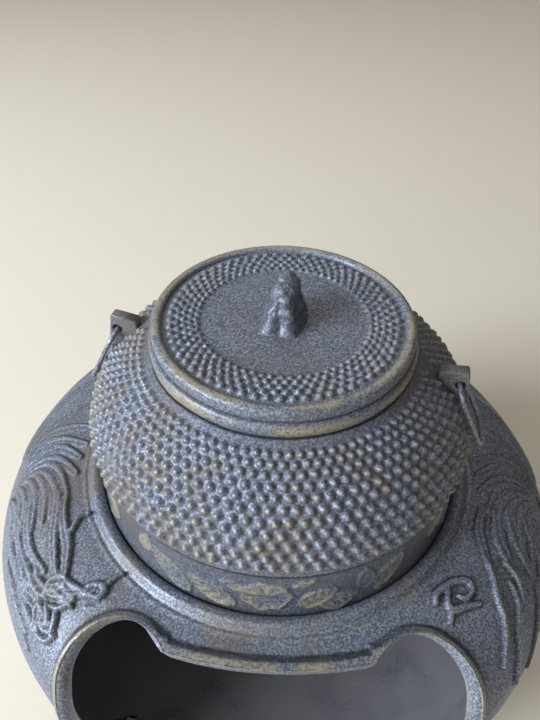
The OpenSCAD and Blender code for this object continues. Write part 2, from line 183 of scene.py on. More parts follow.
def turned(profile, angles, height=None):
    """Grid of points (rows, columns, 3) in metres, moved along its normals by height (mm)."""
    normals = profile_normals(profile)
    radius = np.repeat(profile[:, :1], len(angles), 1)
    level_z = np.repeat(profile[:, 1:], len(angles), 1)
    if height is not None:
        radius = radius + normals[:, :1] * height
        level_z = level_z + normals[:, 1:] * height
    x = radius * np.cos(angles + FRONT)
    y = radius * np.sin(angles + FRONT)
    return np.stack([x, y, level_z], -1) * MM


def turned_normals(profile, angles):
    """Outward normals of a turned surface, one for each point of its grid."""
    flat = profile_normals(profile)
    return np.stack([flat[:, :1] * np.cos(angles + FRONT), flat[:, :1] * np.sin(angles + FRONT),
                     np.repeat(flat[:, 1:], len(angles), 1)], -1)


def grid_quads(rows, columns, start=0):
    """Quads of a grid that closes on itself round the axis."""
    i, j = np.meshgrid(np.arange(rows - 1), np.arange(columns), indexing="ij")
    k = (j + 1) % columns
    quads = np.stack([i * columns + j, (i + 1) * columns + j, (i + 1) * columns + k,
                      i * columns + k], -1)
    return quads.reshape(-1, 4) + start


def turned_faces(rows, columns):
    """Quads of a turned grid, and a fan that closes it on the axis at each end."""
    first, last = rows * columns, rows * columns + 1
    fans = [[first, j, (j + 1) % columns] for j in range(columns)]
    tail = (rows - 1) * columns
    fans += [[last, tail + (j + 1) % columns, tail + j] for j in range(columns)]
    return grid_quads(rows, columns).tolist() + fans


def turned_points(grid):
    """The grid's points as a list, with the middle of its first and last rows added."""
    return np.concatenate([grid.reshape(-1, 3), grid[0].mean(0)[None], grid[-1].mean(0)[None]])


def make_mesh(name, points, faces, smooth=True):
    """A mesh object from points in metres and faces given as index lists."""
    mesh = bpy.data.meshes.new(name)
    mesh.from_pydata([tuple(p) for p in np.asarray(points, float).tolist()], [],
                     [list(f) for f in faces])
    mesh.validate()
    mesh.update()
    mesh.polygons.foreach_set("use_smooth", [smooth] * len(mesh.polygons))
    piece = bpy.data.objects.new(name, mesh)
    bpy.context.scene.collection.objects.link(piece)
    print(name, len(mesh.vertices), "points,", len(mesh.polygons), "faces")
    return piece


def mark(piece, layer, values):
    """Keeps one number per point of a mesh, for its finish to read."""
    full = np.zeros(len(piece.data.vertices), np.float32)
    flat = np.asarray(values, np.float32).ravel()
    full[:len(flat)] = flat
    attribute = piece.data.attributes.new(layer, "FLOAT", "POINT")
    attribute.data.foreach_set("value", full)


def smooth_step(x, low, high):
    t = np.clip((x - low) / (high - low), 0.0, 1.0)
    return t * t * (3.0 - 2.0 * t)


def uneven(points, size, seed):
    """Soft unevenness of a sand mould, from -1 to 1, with bumps of about size (metres)."""
    shift = Vector((seed * 1.7, seed * 0.9, seed * 2.3))
    flat = np.asarray(points, float).reshape(-1, 3) / size
    return np.array([noise.noise(Vector(p) + shift) for p in flat]).reshape(points.shape[:-1])


print("helpers are ready")

# %% [markdown]
# ## Hobnails
#
# The kettle's dome and the rim of its lid are covered with arare, small hobnails like hail that are
# pressed one by one into the wet clay mould. They stand in staggered rows, and every row
# has the same number of nails, so that nails and gaps grow together towards the foot, as in a
# honeycomb. Each nail is a soft bump in the height of the grid, a little uneven in place and size.

# %% Hobnails
def row_places(curve, start, count, rows, spread):
    """Distances down a curve of rows that keep their share of the gap between nails."""
    places = [start]
    for _ in range(rows - 1):
        gap = 2.0 * math.pi * along(curve, [places[-1]])[0, 0] / count
        places.append(places[-1] + spread * gap)
    return places


def hobnails(run, angles, radius, places, count, foot, rise, seed, bare=None):
    """Height (mm) of staggered nails over a grid, and how high on a nail each point lies.

    foot and rise are shares of the gap between nails; bare says where no nail stands."""
    rng = np.random.default_rng(seed)
    share = np.zeros((len(run), len(angles)))
    lift = np.zeros(share.shape)
    step = 2.0 * math.pi / count
    for row, middle in enumerate(places):
        gap = step * float(np.interp(middle, run, radius))
        near = np.abs(run - middle) < gap * 0.8
        sway = rng.normal(0.0, 0.035 * gap, (2, count))
        tall = rng.normal(1.0, 0.07, count)
        place = angles / step - 0.5 * (row % 2)
        nail = np.round(place).astype(int)
        if bare is not None:
            turn = (np.arange(count) + 0.5 * (row % 2)) * step
            tall[[bare(t, middle) for t in turn]] = 0.0
        aside = (place - nail)[None, :] * step * radius[near][:, None] + sway[0][nail % count]
        down = (run[near] - middle)[:, None] + sway[1][nail % count][None, :]
        bump = np.exp(-(np.hypot(aside, down) / (foot * gap)) ** 3.0) * tall[nail % count]
        share[near] = np.maximum(share[near], bump)
        lift[near] = np.maximum(lift[near], bump * rise * gap)
    return lift, np.clip(share, 0.0, 1.0)


print("hobnails grow with the gap between them")

# %% [markdown]
# ## Leaves and peonies on the kettle's band
#
# Below the dome runs a plain band with low leaves and a half-open peony in front. They were drawn
# into the mould with a fine gouge, so what stands proud in the casting is their outline, the
# rib and the veins, with a flat field between. Distances to the leaf's edge and to its rib
# give those lines directly. A leaf is written as its place across and up, its length and width,
# its tilt and its number of veins, and the band repeats the sprig four times round.

# %% Leaves for the band
def line_height(distance, width):
    """A round-topped line, from 0 to 1, at a distance from its middle."""
    return np.exp(-(distance / width) ** 2)


def leaf(across, up, middle_x, middle_y, length, width, turn, veins=5.0):
    """Height from 0 to 1 of one leaf, on a band laid flat (mm)."""
    c, s = math.cos(math.radians(turn)), math.sin(math.radians(turn))
    x = (across - middle_x) * c + (up - middle_y) * s
    y = -(across - middle_x) * s + (up - middle_y) * c
    t = np.clip(y / length + 0.5, 0.0, 1.0)
    half = width / 2 * np.sin(math.pi * t ** 0.85) ** 0.8 + 1e-6
    edge = half - np.abs(x)
    within = smooth_step(edge, -0.3, 0.5) * (np.abs(y) < length / 2)
    rim = line_height(edge - 0.7, 0.8)
    rib = line_height(x, 0.6) * 0.8
    vein = 0.5 * (0.5 + 0.5 * np.cos((y - np.abs(x) * 0.8) / length * 2 * math.pi * veins)) ** 3
    return within * np.maximum.reduce([rim, rib, 0.28 + vein * smooth_step(edge, 0.6, 2.0)])


def peony(across, up, middle_x, middle_y, radius):
    """Height from 0 to 1 of a half-open flower: full petals above, a lined cup below."""
    x, y = (across - middle_x) / radius, (up - middle_y) / (radius * 0.96)
    far, turn = np.hypot(x, y), np.arctan2(y, x)
    scallop = 0.93 + 0.05 * np.cos(turn * 7)
    within = smooth_step(scallop - far, -0.03, 0.06)
    rim = line_height(far - scallop + 0.07, 0.07)
    split = y - 0.04 + 0.14 * np.abs(x)
    petals = (0.62 + 0.2 * np.cos(turn * 9)) * smooth_step(split, 0.0, 0.12)
    cup = 0.22 + 0.4 * (0.5 + 0.5 * np.cos(turn * 16)) ** 3 * smooth_step(far, 0.45, 0.8)
    fold = line_height(split + 0.34 - 0.2 * np.abs(x), 0.05) * (np.abs(x) < 0.75) * 0.7
    groove = 1.0 - 0.9 * line_height(split + 0.03, 0.055)
    return within * np.maximum.reduce([rim, petals, cup, fold]) * groove


PEONY = (-2.5, 186.5, 12.8)
SPRIG = (
    (-28.0, 182.0, 27.0, 13.0, 62.0, 5.0),
    (-17.0, 192.0, 15.0, 6.0, 70.0, 4.0),
    (21.0, 184.0, 21.0, 13.0, -56.0, 5.0),
    (31.0, 178.0, 19.0, 11.0, -84.0, 4.0),
    (43.0, 190.0, 20.0, 9.5, 10.0, 5.0),
    (56.0, 186.0, 25.0, 14.0, -30.0, 5.0),
    (-49.0, 184.0, 29.0, 14.0, 48.0, 6.0),
    (-63.0, 193.0, 17.0, 9.0, -20.0, 4.0),
    (14.0, 198.0, 12.0, 4.5, -66.0, 3.0),
)


def sprigs(angles, heights, radius):
    """Height from 0 to 1 of the leaves and peonies round the whole band."""
    period = math.pi / 2
    turn = (angles + period / 2) % period - period / 2
    across = np.repeat((turn * radius)[None, :], len(heights), 0)
    up = np.repeat(heights[:, None], len(angles), 1)
    lift = peony(across, up, *PEONY)
    for x, y, length, width, tilt, veins in SPRIG:
        lift = np.maximum(lift, leaf(across, up, x, y, length, width, tilt, veins))
    return lift


print(len(SPRIG), "leaves and a peony in a sprig")

# %% [markdown]
# ## The kettle's profile
#
# The profile starts at the bottom of the inside, runs up the inner wall and out over the mouth and
# its bead, then down the dome, in over a small step to the band, out to the flange and round the
# bowl. Rows are closer together where the hobnails and the leaves are, so that the ornament is
# real shape and not only shading. The band flares a little just above the brazier's collar.

# %% Kettle profile
NAILS_ROUND = 96
NAIL_ROWS = 11
FIRST_NAIL = 6.0
ROW_SPREAD = 0.895
FLARE = 2.4
FLARE_REACH = 5.0
kettle_angles = ring_angles(NAILS_ROUND * 8)

neck_z = DOME_Z + float(quarter(MOUTH_BEAD_R, 0, DOME_R, DOME_H, DOME_POWER))
bead_turn = np.radians(np.linspace(90, -90, 13))
bead_half = (MOUTH_Z - neck_z) / 2
bead = np.stack([MOUTH_BEAD_R - BEAD_DEPTH + BEAD_DEPTH * np.cos(bead_turn) ** 0.8,
                 neck_z + bead_half + bead_half * np.sin(bead_turn)], 1)
rim = np.array([[NECK_R, MOUTH_Z - 4.0], [NECK_R, MOUTH_Z - 0.6], [NECK_R + 0.6, MOUTH_Z],
                [MOUTH_BEAD_R - BEAD_DEPTH - 1.2, MOUTH_Z]])
dome_r = MOUTH_BEAD_R + (DOME_R - MOUTH_BEAD_R) * np.sin(np.linspace(0, math.pi / 2, 240))
dome_curve = np.stack([dome_r, DOME_Z + quarter(dome_r, 0, DOME_R, DOME_H, DOME_POWER)], 1)
dome_run = np.linspace(0.0, length_of(dome_curve), 103)
dome_rows = along(dome_curve, dome_run)
groove = np.array([[MOUTH_BEAD_R - 2.0, neck_z - 0.2], [MOUTH_BEAD_R - 0.9, neck_z - 0.45]])
step_rows = np.array([[DOME_R - 0.05, DOME_Z - 0.7], [BAND_TOP_R + 0.1, DOME_Z - 1.6]])
band_heights = np.linspace(DOME_Z - 2.4, FLANGE_Z + 6.0, 46)
band_r = np.interp(band_heights, [FLANGE_Z, DOME_Z], [BAND_R, BAND_TOP_R])
band_r += FLARE * np.exp(-((band_heights - SHOULDER_Z) / FLARE_REACH).clip(0, None) ** 2)
band_rows = np.stack([band_r, band_heights], 1)
flange_rows = np.array([[BAND_R + FLARE, FLANGE_Z + 3.5], [BAND_R - 0.1, FLANGE_Z + 0.3],
                        [BAND_R - 0.5, FLANGE_Z], [KETTLE_BOWL_R + 0.3, FLANGE_Z]])


def bowl_curve(inset, steps):
    """The kettle's bowl from its seat down to its flat bottom, moved in by inset."""
    curve = quarter_curve(KETTLE_FLAT_R, KETTLE_BOWL_R - inset, KETTLE_BOWL_H - inset,
                          DOME_POWER, steps)[::-1]
    return np.stack([curve[:, 0], FLANGE_Z - curve[:, 1]], 1)


inner_dome = np.stack([dome_r[::16] * (1 - KETTLE_WALL / DOME_R),
                       DOME_Z + (dome_curve[::16, 1] - DOME_Z) * (1 - KETTLE_WALL / DOME_H)], 1)
inside_rows = np.concatenate([
    bowl_curve(KETTLE_WALL, 9)[::-1],
    [[BAND_R - KETTLE_WALL, FLANGE_Z + KETTLE_WALL], [BAND_R - KETTLE_WALL, DOME_Z - 2.0]],
    inner_dome[::-1], [[NECK_R, neck_z - KETTLE_WALL]]])
kettle_parts = {"inside": inside_rows, "rim": rim, "bead": bead, "groove": groove,
                "dome": dome_rows, "step": step_rows, "band": band_rows, "flange": flange_rows,
                "bowl": bowl_curve(0.0, 13)}
kettle_rows = np.concatenate(list(kettle_parts.values()))
kettle_span = {}
for part, part_rows in kettle_parts.items():
    begin = max([span.stop for span in kettle_span.values()], default=0)
    kettle_span[part] = slice(begin, begin + len(part_rows))
print("kettle profile has", len(kettle_rows), "points")

# %% [markdown]
# ## Casting the kettle
#
# Hobnails and leaves are laid over the grid as one height. A trace of unevenness, as from sand,
# goes over all that the mould gave. Where a lug stands, the hobnails are left out, as a founder
# would smooth the clay there before setting the lug.

# %% Kettle casting
LEAF_H = 1.2
LUG_BARE_TURN = 3.6
LUG_BARE_LOW = 23.0
LUG_BARE_HIGH = 49.0


def by_lug(turn, down):
    """Whether a nail at this angle (from the front) and distance down would stand in a lug."""
    off = (math.degrees(turn - LUG_TURN) - 90.0) % 180.0
    height = float(np.interp(down, dome_run, dome_rows[:, 1])) - DOME_Z
    return min(off, 180.0 - off) < LUG_BARE_TURN and LUG_BARE_LOW < height < LUG_BARE_HIGH


nail_places = row_places(dome_curve, FIRST_NAIL, NAILS_ROUND, NAIL_ROWS, ROW_SPREAD)
nail_lift, nail_share = hobnails(dome_run, kettle_angles, dome_rows[:, 0], nail_places,
                                 NAILS_ROUND, foot=0.335, rise=0.38, seed=5, bare=by_lug)
leaf_lift = sprigs(kettle_angles, band_heights, BAND_R)
kettle_lift = np.zeros((len(kettle_rows), len(kettle_angles)))
kettle_lift[kettle_span["dome"]] = nail_lift
kettle_lift[kettle_span["band"]] = leaf_lift * LEAF_H
kettle_grid = turned(kettle_rows, kettle_angles, kettle_lift)
cast_part = slice(kettle_span["bead"].start, kettle_span["flange"].stop)
kettle_grid[cast_part] += (uneven(kettle_grid[cast_part], size=0.018, seed=1) * 0.0002)[..., None]
kettle = make_mesh("kettle_casting", turned_points(kettle_grid), turned_faces(*kettle_lift.shape))

# %% [markdown]
# ## Wear and painted shade on the kettle
#
# Each casting keeps numbers per point for its finish to read: one where hands rub it bright, which
# on the brazier also carries painted highlights, and one for painted shade, a near black laid in
# grooves, steps and hollows where shade falls. Both come from the heights that made the shape, so
# they follow it exactly, which a painted mask would not.

# %% Kettle wear and painted shade
kettle_wear = np.zeros(kettle_lift.shape)
low_rows = (dome_run / dome_run[-1])[:, None]
kettle_wear[kettle_span["dome"]] = nail_share ** (4.0 - 2.4 * low_rows) * (0.8 - 0.15 * low_rows)
kettle_wear[kettle_span["band"]] = (smooth_step(leaf_lift, 0.08, 0.4) * 0.55
                                    + smooth_step(leaf_lift, 0.4, 0.9) * 0.35)
kettle_wear[kettle_span["bead"]] = 0.75 * (np.cos(np.linspace(-1.2, 1.2, len(bead))) ** 2)[:, None]

mark(kettle, "wear_and_highlight", kettle_wear)

# Painted shade, a near black laid where shade falls: the groove under the bead, the step under the
# dome and a line just below it, the band's foot down in the collar, and a little over the flat
# field between the leaves.
kettle_painted_shade = np.zeros(kettle_lift.shape)
kettle_painted_shade[kettle_span["groove"]] = 0.7
kettle_painted_shade[kettle_span["step"]] = 1.0
kettle_painted_shade[kettle_span["band"]] = (0.9 * np.exp(-((DOME_Z - 1.8 - band_heights) / 1.6) ** 2)
                                     + 0.5 * np.exp(-((band_heights - SHOULDER_Z) / 4.0).clip(0)
                                                    ** 2))[:, None]
kettle_painted_shade[kettle_span["band"]] += 0.24 * (1.0 - smooth_step(leaf_lift, 0.05, 0.3))
mark(kettle, "painted_shade", kettle_painted_shade)
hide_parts("kettle")
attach(kettle, "kettle_body")
print("kettle is rubbed on", round(100 * float((kettle_wear > 0.3).mean())), "% of its points")

# %% [markdown]
# ## The lid
#
# The lid is a flat disc with a rounded rim. It has a plain sandy middle, then five staggered
# rows of small hobnails, then the rim. A ring underneath drops into the kettle's mouth and keeps
# the lid from sliding off. It is turned like the kettle: its profile runs from the middle of the
# top out over the rim and back along the underside, with the ring on the way.

# %% Lid
LID_NAILS_ROUND = 64
PLAIN_R = 39.3
RIM_INSIDE_R = 56.8
LID_RING_R = 50.0
LID_RING_T = 3.5
LID_RING_H = 7.0
lid_angles = ring_angles(LID_NAILS_ROUND * 10)
plain_rows = np.stack([np.linspace(3.0, PLAIN_R, 26), np.full(26, PLATE_Z)], 1)
plain_rows[-3:, 1] += [0.05, 0.1, 0.12]
nail_run = np.linspace(0.0, RIM_INSIDE_R - PLAIN_R, 45)
nail_rows = np.stack([PLAIN_R + nail_run, np.full(45, PLATE_Z + 0.1)], 1)[1:]
rim_turn = np.radians(np.linspace(172, 0, 15))
rim_middle = (RIM_INSIDE_R + LID_R) / 2
rim_half = (LID_R - RIM_INSIDE_R) / 2
rim_top = LID_Z + LID_RIM_H
rim_rows = np.stack([rim_middle + rim_half * np.cos(rim_turn),
                     rim_top - 2.4 + 2.4 * np.sin(rim_turn) ** 0.8], 1)
skirt_rows = np.array([[LID_R, LID_Z + 3.2], [LID_R - 0.1, LID_Z + 1.6], [LID_R - 0.5, LID_Z + 0.5],
                       [LID_R - 1.2, LID_Z], [LID_RING_R, LID_Z],
                       [LID_RING_R, LID_Z - LID_RING_H + 0.7],
                       [LID_RING_R - 0.7, LID_Z - LID_RING_H],
                       [LID_RING_R - LID_RING_T + 0.5, LID_Z - LID_RING_H],
                       [LID_RING_R - LID_RING_T, LID_Z - LID_RING_H + 0.7],
                       [LID_RING_R - LID_RING_T, LID_Z], [20.0, LID_Z], [8.0, LID_Z]])
lid_rows = np.concatenate([plain_rows, nail_rows, rim_rows, skirt_rows])
lid_nail_places = [1.6, 4.5, 7.5, 10.6, 13.8]
lid_nail_lift, lid_share = hobnails(nail_run[1:], lid_angles, nail_rows[:, 0], lid_nail_places,
                                LID_NAILS_ROUND, foot=0.34, rise=0.34, seed=9)
lid_lift = np.zeros((len(lid_rows), len(lid_angles)))
lid_wear = np.zeros(lid_lift.shape)
nail_span = slice(len(plain_rows), len(plain_rows) + len(nail_rows))
lid_lift[nail_span] = lid_nail_lift
lid_wear[nail_span] = lid_share ** 4 * 0.6
rim_span = slice(nail_span.stop, nail_span.stop + len(rim_rows))
lid_wear[rim_span] = 0.75 * (np.sin(rim_turn) ** 1.5)[:, None]
lid_grid = turned(lid_rows, lid_angles, lid_lift)
sandy = slice(4, rim_span.stop)
lid_grid[sandy, :, 2] += uneven(lid_grid[sandy], size=0.004, seed=3) * 0.00012
lid = make_mesh("lid_casting", turned_points(lid_grid), turned_faces(*lid_lift.shape))
mark(lid, "wear_and_highlight", lid_wear)
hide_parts("lid")
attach(lid, "lid_body")

# %% [markdown]
# ## The knob
#
# The lid's knob is cast like a small crag, long from front to back, with three worn humps on its
# ridge. It could be carved by hand in sculpt mode. Here it is a loft instead: every height has its
# own rounded outline, and ridges and noise push the outline in and out, so that the same crag
# comes out each time the script runs.

# %% Knob
KNOB_TOP = 22.0
KNOB_LEVELS = 90
KNOB_SIDES = 150
KNOB_FOOT = ((-11.0, -12.6), (-1.5, -14.2), (5.6, -15.2), (8.3, -8.0), (10.6, 3.0), (10.2, 11.5),
             (2.5, 13.2), (-5.2, 12.6), (-9.0, 4.0), (-10.6, -5.0))
KNOB_CREST = ((-3.2, -7.6), (-0.6, -8.4), (2.2, -8.2), (3.6, -4.5), (4.6, 1.5), (4.8, 6.2),
              (2.0, 8.4), (-1.4, 7.8), (-2.8, 3.0), (-3.4, -3.0))
HUMPS = ((-6.4, 3.0, 17.2), (-0.4, 2.6, 19.6), (5.0, 3.0, 22.0))


def knob_outline(corners, turn):
    """Distance from the middle to a cornered outline, in the direction turn."""
    places = [math.atan2(y, x) for x, y in corners]
    sizes = [math.hypot(x, y) for x, y in corners]
    order = np.argsort(places)
    a, r = np.array(places)[order], np.array(sizes)[order]
    return float(np.interp(turn, np.concatenate([a - 2 * math.pi, a, a + 2 * math.pi]),
                           np.tile(r, 3)))


def knob_point(i, j):
    """Point of the crag (mm): a walk up its wall to the crest line, then in over the humps."""
    share = i / (KNOB_LEVELS - 1)
    turn = 2 * math.pi * j / KNOB_SIDES - math.pi
    low, high = knob_outline(KNOB_FOOT, turn), knob_outline(KNOB_CREST, turn)
    wall = min(share / 0.78, 1.0)
    inward = 1.0 - max(share - 0.78, 0.0) / 0.22
    r = (low + (high - low) * wall ** 0.8) * inward
    x, y = r * math.cos(turn), r * math.sin(turn)
    roof = max(top - 0.34 * ((y - place) / width) ** 2 * 2.2 for place, width, top in HUMPS)
    edge_drop = 0.9 * smooth_step(wall, 0.9, 1.0) * inward ** 4
    z = roof * wall ** 1.05 + 0.6 * (1.0 - inward) - edge_drop
    p = Vector((x, y, z))
    fold = 0.7 * math.sin(turn * 6 + 0.9 * z / 3) * smooth_step(share, 0.05, 0.3) * inward
    lump = noise.noise(p / 4.0 + Vector((3.1, 0.2, 7.7))) * 1.3
    grit = noise.noise(p / 1.4 + Vector((9.0, 1.0, 2.0))) * 0.3
    out = Vector((x, y * 0.7, 2.0)).normalized()
    return p + out * (fold * 0.5 + lump + grit) * smooth_step(share, 0.0, 0.12)


knob_grid = np.array([[knob_point(i, j) for j in range(KNOB_SIDES)] for i in range(KNOB_LEVELS)])
knob_grid = (knob_grid + np.array([0.0, 0.0, PLATE_Z])) * MM
knob_faces = [[q[3], q[2], q[1], q[0]] for q in grid_quads(KNOB_LEVELS, KNOB_SIDES).tolist()]
knob_count = KNOB_LEVELS * KNOB_SIDES
knob_faces += [[knob_count - KNOB_SIDES + j, knob_count - KNOB_SIDES + (j + 1) % KNOB_SIDES,
                knob_count + 1] for j in range(KNOB_SIDES)]
knob_faces += [[(j + 1) % KNOB_SIDES, j, knob_count] for j in range(KNOB_SIDES)]
crag_piece = make_mesh("knob_crag", turned_points(knob_grid), knob_faces)
knob_high = (knob_grid[..., 2] / MM - PLATE_Z) / KNOB_TOP
mark(crag_piece, "wear_and_highlight", smooth_step(knob_high, 0.8, 1.0) * 0.35)
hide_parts("knob")
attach(crag_piece, "lid_body")

# %% [markdown]
# ## Lugs for the rings
#
# Two pierced plates are cast into the dome, a little off the line through the fire window. Guests
# never see them from straight on, so what counts is their soft cast edges. A flat curve with a
# hole, given thickness and a round bevel, makes exactly that: a plate with no sharp corner.

# %% Lugs
HOLE_X = 86.0
HOLE_Z = DOME_Z + 39.5
HOLE_R = 2.35
LUG_T = 6.0
LUG_ROUND = 0.8
LUG_OUTLINE = ((-10.6, 6.6), (1.8, 8.4), (2.8, 7.4), (5.5, -7.0), (4.8, -9.5), (3.0, -12.0),
               (-2.6, -7.0), (-8.0, -1.4), (-11.2, 0.2), (-10.9, 2.4))


def lug(name, side):
    """One pierced plate, on the right where side is 1 and on the left where it is -1."""
    data = bpy.data.curves.new(name, "CURVE")
    data.dimensions = "2D"
    data.fill_mode = "BOTH"
    data.extrude = (LUG_T / 2 - LUG_ROUND) * MM
    data.bevel_depth = LUG_ROUND * MM
    data.bevel_resolution = 3
    data.offset = -LUG_ROUND * MM
    hole = [(math.cos(a) * HOLE_R, math.sin(a) * HOLE_R)
            for a in np.linspace(0, -2 * math.pi, 28, endpoint=False)]
    for outline in (LUG_OUTLINE[::-1], hole):
        spline = data.splines.new("POLY")
        spline.points.add(len(outline) - 1)
        for point, (x, y) in zip(spline.points, outline):
            point.co = (x * MM, y * MM, 0.0, 1.0)
        spline.use_cyclic_u = True
    carrier = bpy.data.objects.new(name + "_curve", data)
    bpy.context.scene.collection.objects.link(carrier)
    bpy.context.view_layer.update()
    mesh = bpy.data.meshes.new_from_object(carrier.evaluated_get(
        bpy.context.evaluated_depsgraph_get()))
    bpy.data.objects.remove(carrier)
    place = (Matrix.Rotation(LUG_TURN + (0 if side > 0 else math.pi), 4, "Z")
             @ Matrix.Translation(Vector((HOLE_X, 0, HOLE_Z)) * MM)
             @ Matrix.Rotation(math.pi / 2, 4, "X"))
    mesh.transform(place)
    mesh.name = name
    piece = bpy.data.objects.new(name, mesh)
    bpy.context.scene.collection.objects.link(piece)
    mesh.polygons.foreach_set("use_smooth", [True] * len(mesh.polygons))
    print(name, len(mesh.polygons), "faces")
    return piece


lugs = []
for lug_name, lug_side in (("left", -1), ("right", 1)):
    plate = lug("lug_plate_" + lug_name, lug_side)
    mark(plate, "wear_and_highlight", np.full(len(plate.data.vertices), 0.25))
    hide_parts("lug_" + lug_name)
    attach(plate, "kettle_body")
    lugs.append(plate)

# %% [markdown]
# ## Ornament on the brazier's shoulder
#
# Two long-tailed birds lie on the shoulder, one on each side of the window. A mould carver would
# cut them with a few gouges, stroke by stroke. The same is done here: a stroke is a short
# list of places, each given by its angle from the window and its distance down the shoulder from
# the collar, then a half-width at its start, middle and end, and its height. It is a rounded
# ridge, or a feather, which rises slowly from one side and ends in a sharp edge on the other.
# The fan holds the tail feathers, which both birds share.

# %% Strokes
FEATHER_W = (1.8, 4.6, 2.4)
FEATHER_H = 1.5
FAN = (
    ((90, 52), (102, 54), (113, 50), (122, 40)), ((88, 46), (98, 44), (107, 38), (114, 26)),
    ((87, 42), (93, 37), (98, 28), (104, 12)), ((86, 42), (92, 33), (94, 20), (95, 3)),
    ((85, 41), (89, 30), (90, 19), (88, 4)), ((83, 37), (86, 28), (87, 18), (83.5, 6)),
    ((83, 37), (84, 25), (82, 15), (78, 7)), ((82, 36), (82, 25), (79, 17), (72, 12)),
    ((81, 37), (80, 27), (74, 19), (67, 20)), ((80, 40), (80, 32), (74, 25), (67, 26)),
    ((79, 43), (79, 36), (74, 31), (66, 33)), ((79, 47), (78, 42), (74, 38), (66, 41)),
    ((78, 52), (76, 48), (72, 45), (65, 48)),
)
LEFT_RIDGES = (
    ((73, 16), (68, 17), (63, 20), (58, 23), (53, 26), (50, 26), 2.0, 2.6, 1.6, 2.2),
    ((71, 12), (66, 14), (61, 15), (57, 16), (53, 20), (50, 24), 1.8, 2.7, 1.8, 2.5),
    ((75, 32), (69, 34), (64, 35), (60, 34), (55, 31), 2.0, 2.8, 1.6, 2.0),
    ((75, 41), (68, 41), (63, 41), (58, 39), (54, 35), 2.0, 2.6, 1.4, 1.8),
    ((72, 46), (67, 48), (60, 46), (55, 43), 1.8, 2.4, 1.4, 1.6),
    ((63, 0), (63, 6), (61, 10), (59, 14), 0.8, 1.5, 1.4, 2.2),
    ((41, 0), (42, 5), (42, 9), 0.7, 1.2, 1.5, 2.0),
    ((45, 17), (44, 13), (42, 11), (41, 13), (41, 16), 1.3, 1.7, 1.4, 2.5),
    ((52, 32), (52, 27), (51, 23), (48, 22), 0.8, 1.3, 1.0, 2.2),
    ((49, 28), (49, 23), (46, 20), (44, 18), 0.8, 1.3, 1.2, 2.3),
    ((46, 25), (45, 21), (43, 18), (41, 16), 0.8, 1.2, 1.0, 2.2),
    ((51, 35), (50, 30), (47, 28), (45, 24), 0.8, 1.4, 1.1, 2.3),
    ((48, 35), (46, 32), (45, 27), (45, 24), 0.8, 1.4, 1.2, 2.4),
    ((42, 23), (40, 19), (39, 14), (36, 12), 0.6, 0.9, 0.6, 1.3),
    ((46, 34), (45, 36), (44, 41), (46, 44), 1.2, 1.6, 1.0, 2.4),
    ((49, 36), (47, 38), (46, 41), (48, 45), 0.9, 1.4, 0.9, 2.1),
    ((51, 47), (47, 48), (44, 46), (43, 41), 0.9, 1.4, 1.2, 2.2),
    ((54, 47), (50, 47), (47, 46), 0.8, 1.2, 0.9, 1.9),
    ((60, 38), (56, 38), (53, 38), (50, 35), 0.9, 1.4, 0.9, 2.0),
    ((59, 45), (55, 45), (51, 43), 0.9, 1.3, 0.8, 1.9),
    ((57, 34), (54, 34), (50, 32), 0.9, 1.3, 1.0, 2.1),
    ((57, 55), (51, 56), (47, 61), 0.7, 1.0, 0.7, 1.4),
    ((64, 52), (59, 52), (53, 54), (49, 55), 0.8, 1.2, 0.8, 1.3),
    ((52, 34), (49, 29), (46, 23), (42, 15), 3.0, 3.6, 2.0, 1.9),
    ((51, 40), (48, 42), (45, 40), 2.6, 3.8, 2.2, 1.8),
    ((62, 44), (57, 42), (52, 39), 2.8, 3.8, 2.6, 1.6),
    ((50, 33), (48, 30), (47, 26), 0.7, 1.1, 0.8, 2.4),
    ((51, 30), (50, 26), (48, 25), 0.7, 1.0, 0.8, 2.3),
    ((47, 31), (46, 28), (44, 27), 0.7, 1.1, 0.8, 2.4),
    ((50, 24), (47, 25), (45, 22), 0.7, 1.0, 0.7, 2.4),
    ((44, 20), (43, 17), (43, 14), 0.6, 1.0, 0.7, 2.4),
    ((48, 39), (47, 43), (45, 44), 0.7, 1.0, 0.7, 2.3),
    ((50, 38), (50, 42), (48, 46), 0.7, 1.1, 0.8, 2.2),
    ((59, 42), (55, 40), (53, 36), 0.8, 1.2, 0.8, 2.1),
    ((63, 41), (58, 42), (54, 42), 0.8, 1.2, 0.8, 2.0),
)
RIGHT_RIDGES = (
    ((73, 8), (66, 8), (62, 12), (58, 18), 1.8, 2.8, 1.8, 1.8),
    ((59, 16), (56, 22), (53, 28), (51, 35), (48, 42), (45, 49), 1.2, 2.0, 1.4, 2.4),
    ((61, 24), (60, 33), (57, 40), (54, 44), 1.2, 1.8, 1.2, 2.2),
    ((41, 9), (43, 6.5), (48, 8), (51, 13), (50, 17), (47.5, 17), (46.5, 14), 1.6, 1.8, 1.2, 2.3),
    ((46, 9), (43.5, 12), (43, 16), (46, 19), (49, 23), 1.2, 2.0, 1.2, 2.2),
    ((43, 15), (40, 20), (38, 24), 1.6, 1.6, 0.8, 2.0),
    ((74, 15), (68, 17), (64, 22), (61, 30), 2.0, 4.0, 2.4, 1.9),
    ((76, 22), (71, 25), (67, 31), (64, 40), 2.0, 4.2, 2.4, 1.7),
    ((78, 30), (74, 34), (70, 42), (66, 50), 2.0, 4.2, 2.4, 1.6),
    ((80, 38), (77, 44), (72, 52), (66, 61), (60, 68), 2.0, 4.4, 2.4, 1.7),
    ((84, 48), (80, 55), (74, 62), (66, 72), 2.0, 4.4, 2.4, 1.5),
    ((58, 30), (56, 38), (52, 46), (49, 56), (47, 66), 1.2, 2.2, 1.2, 2.0),
    ((63, 46), (60, 54), (56, 62), (52, 72), 1.4, 2.6, 1.2, 1.8),
)


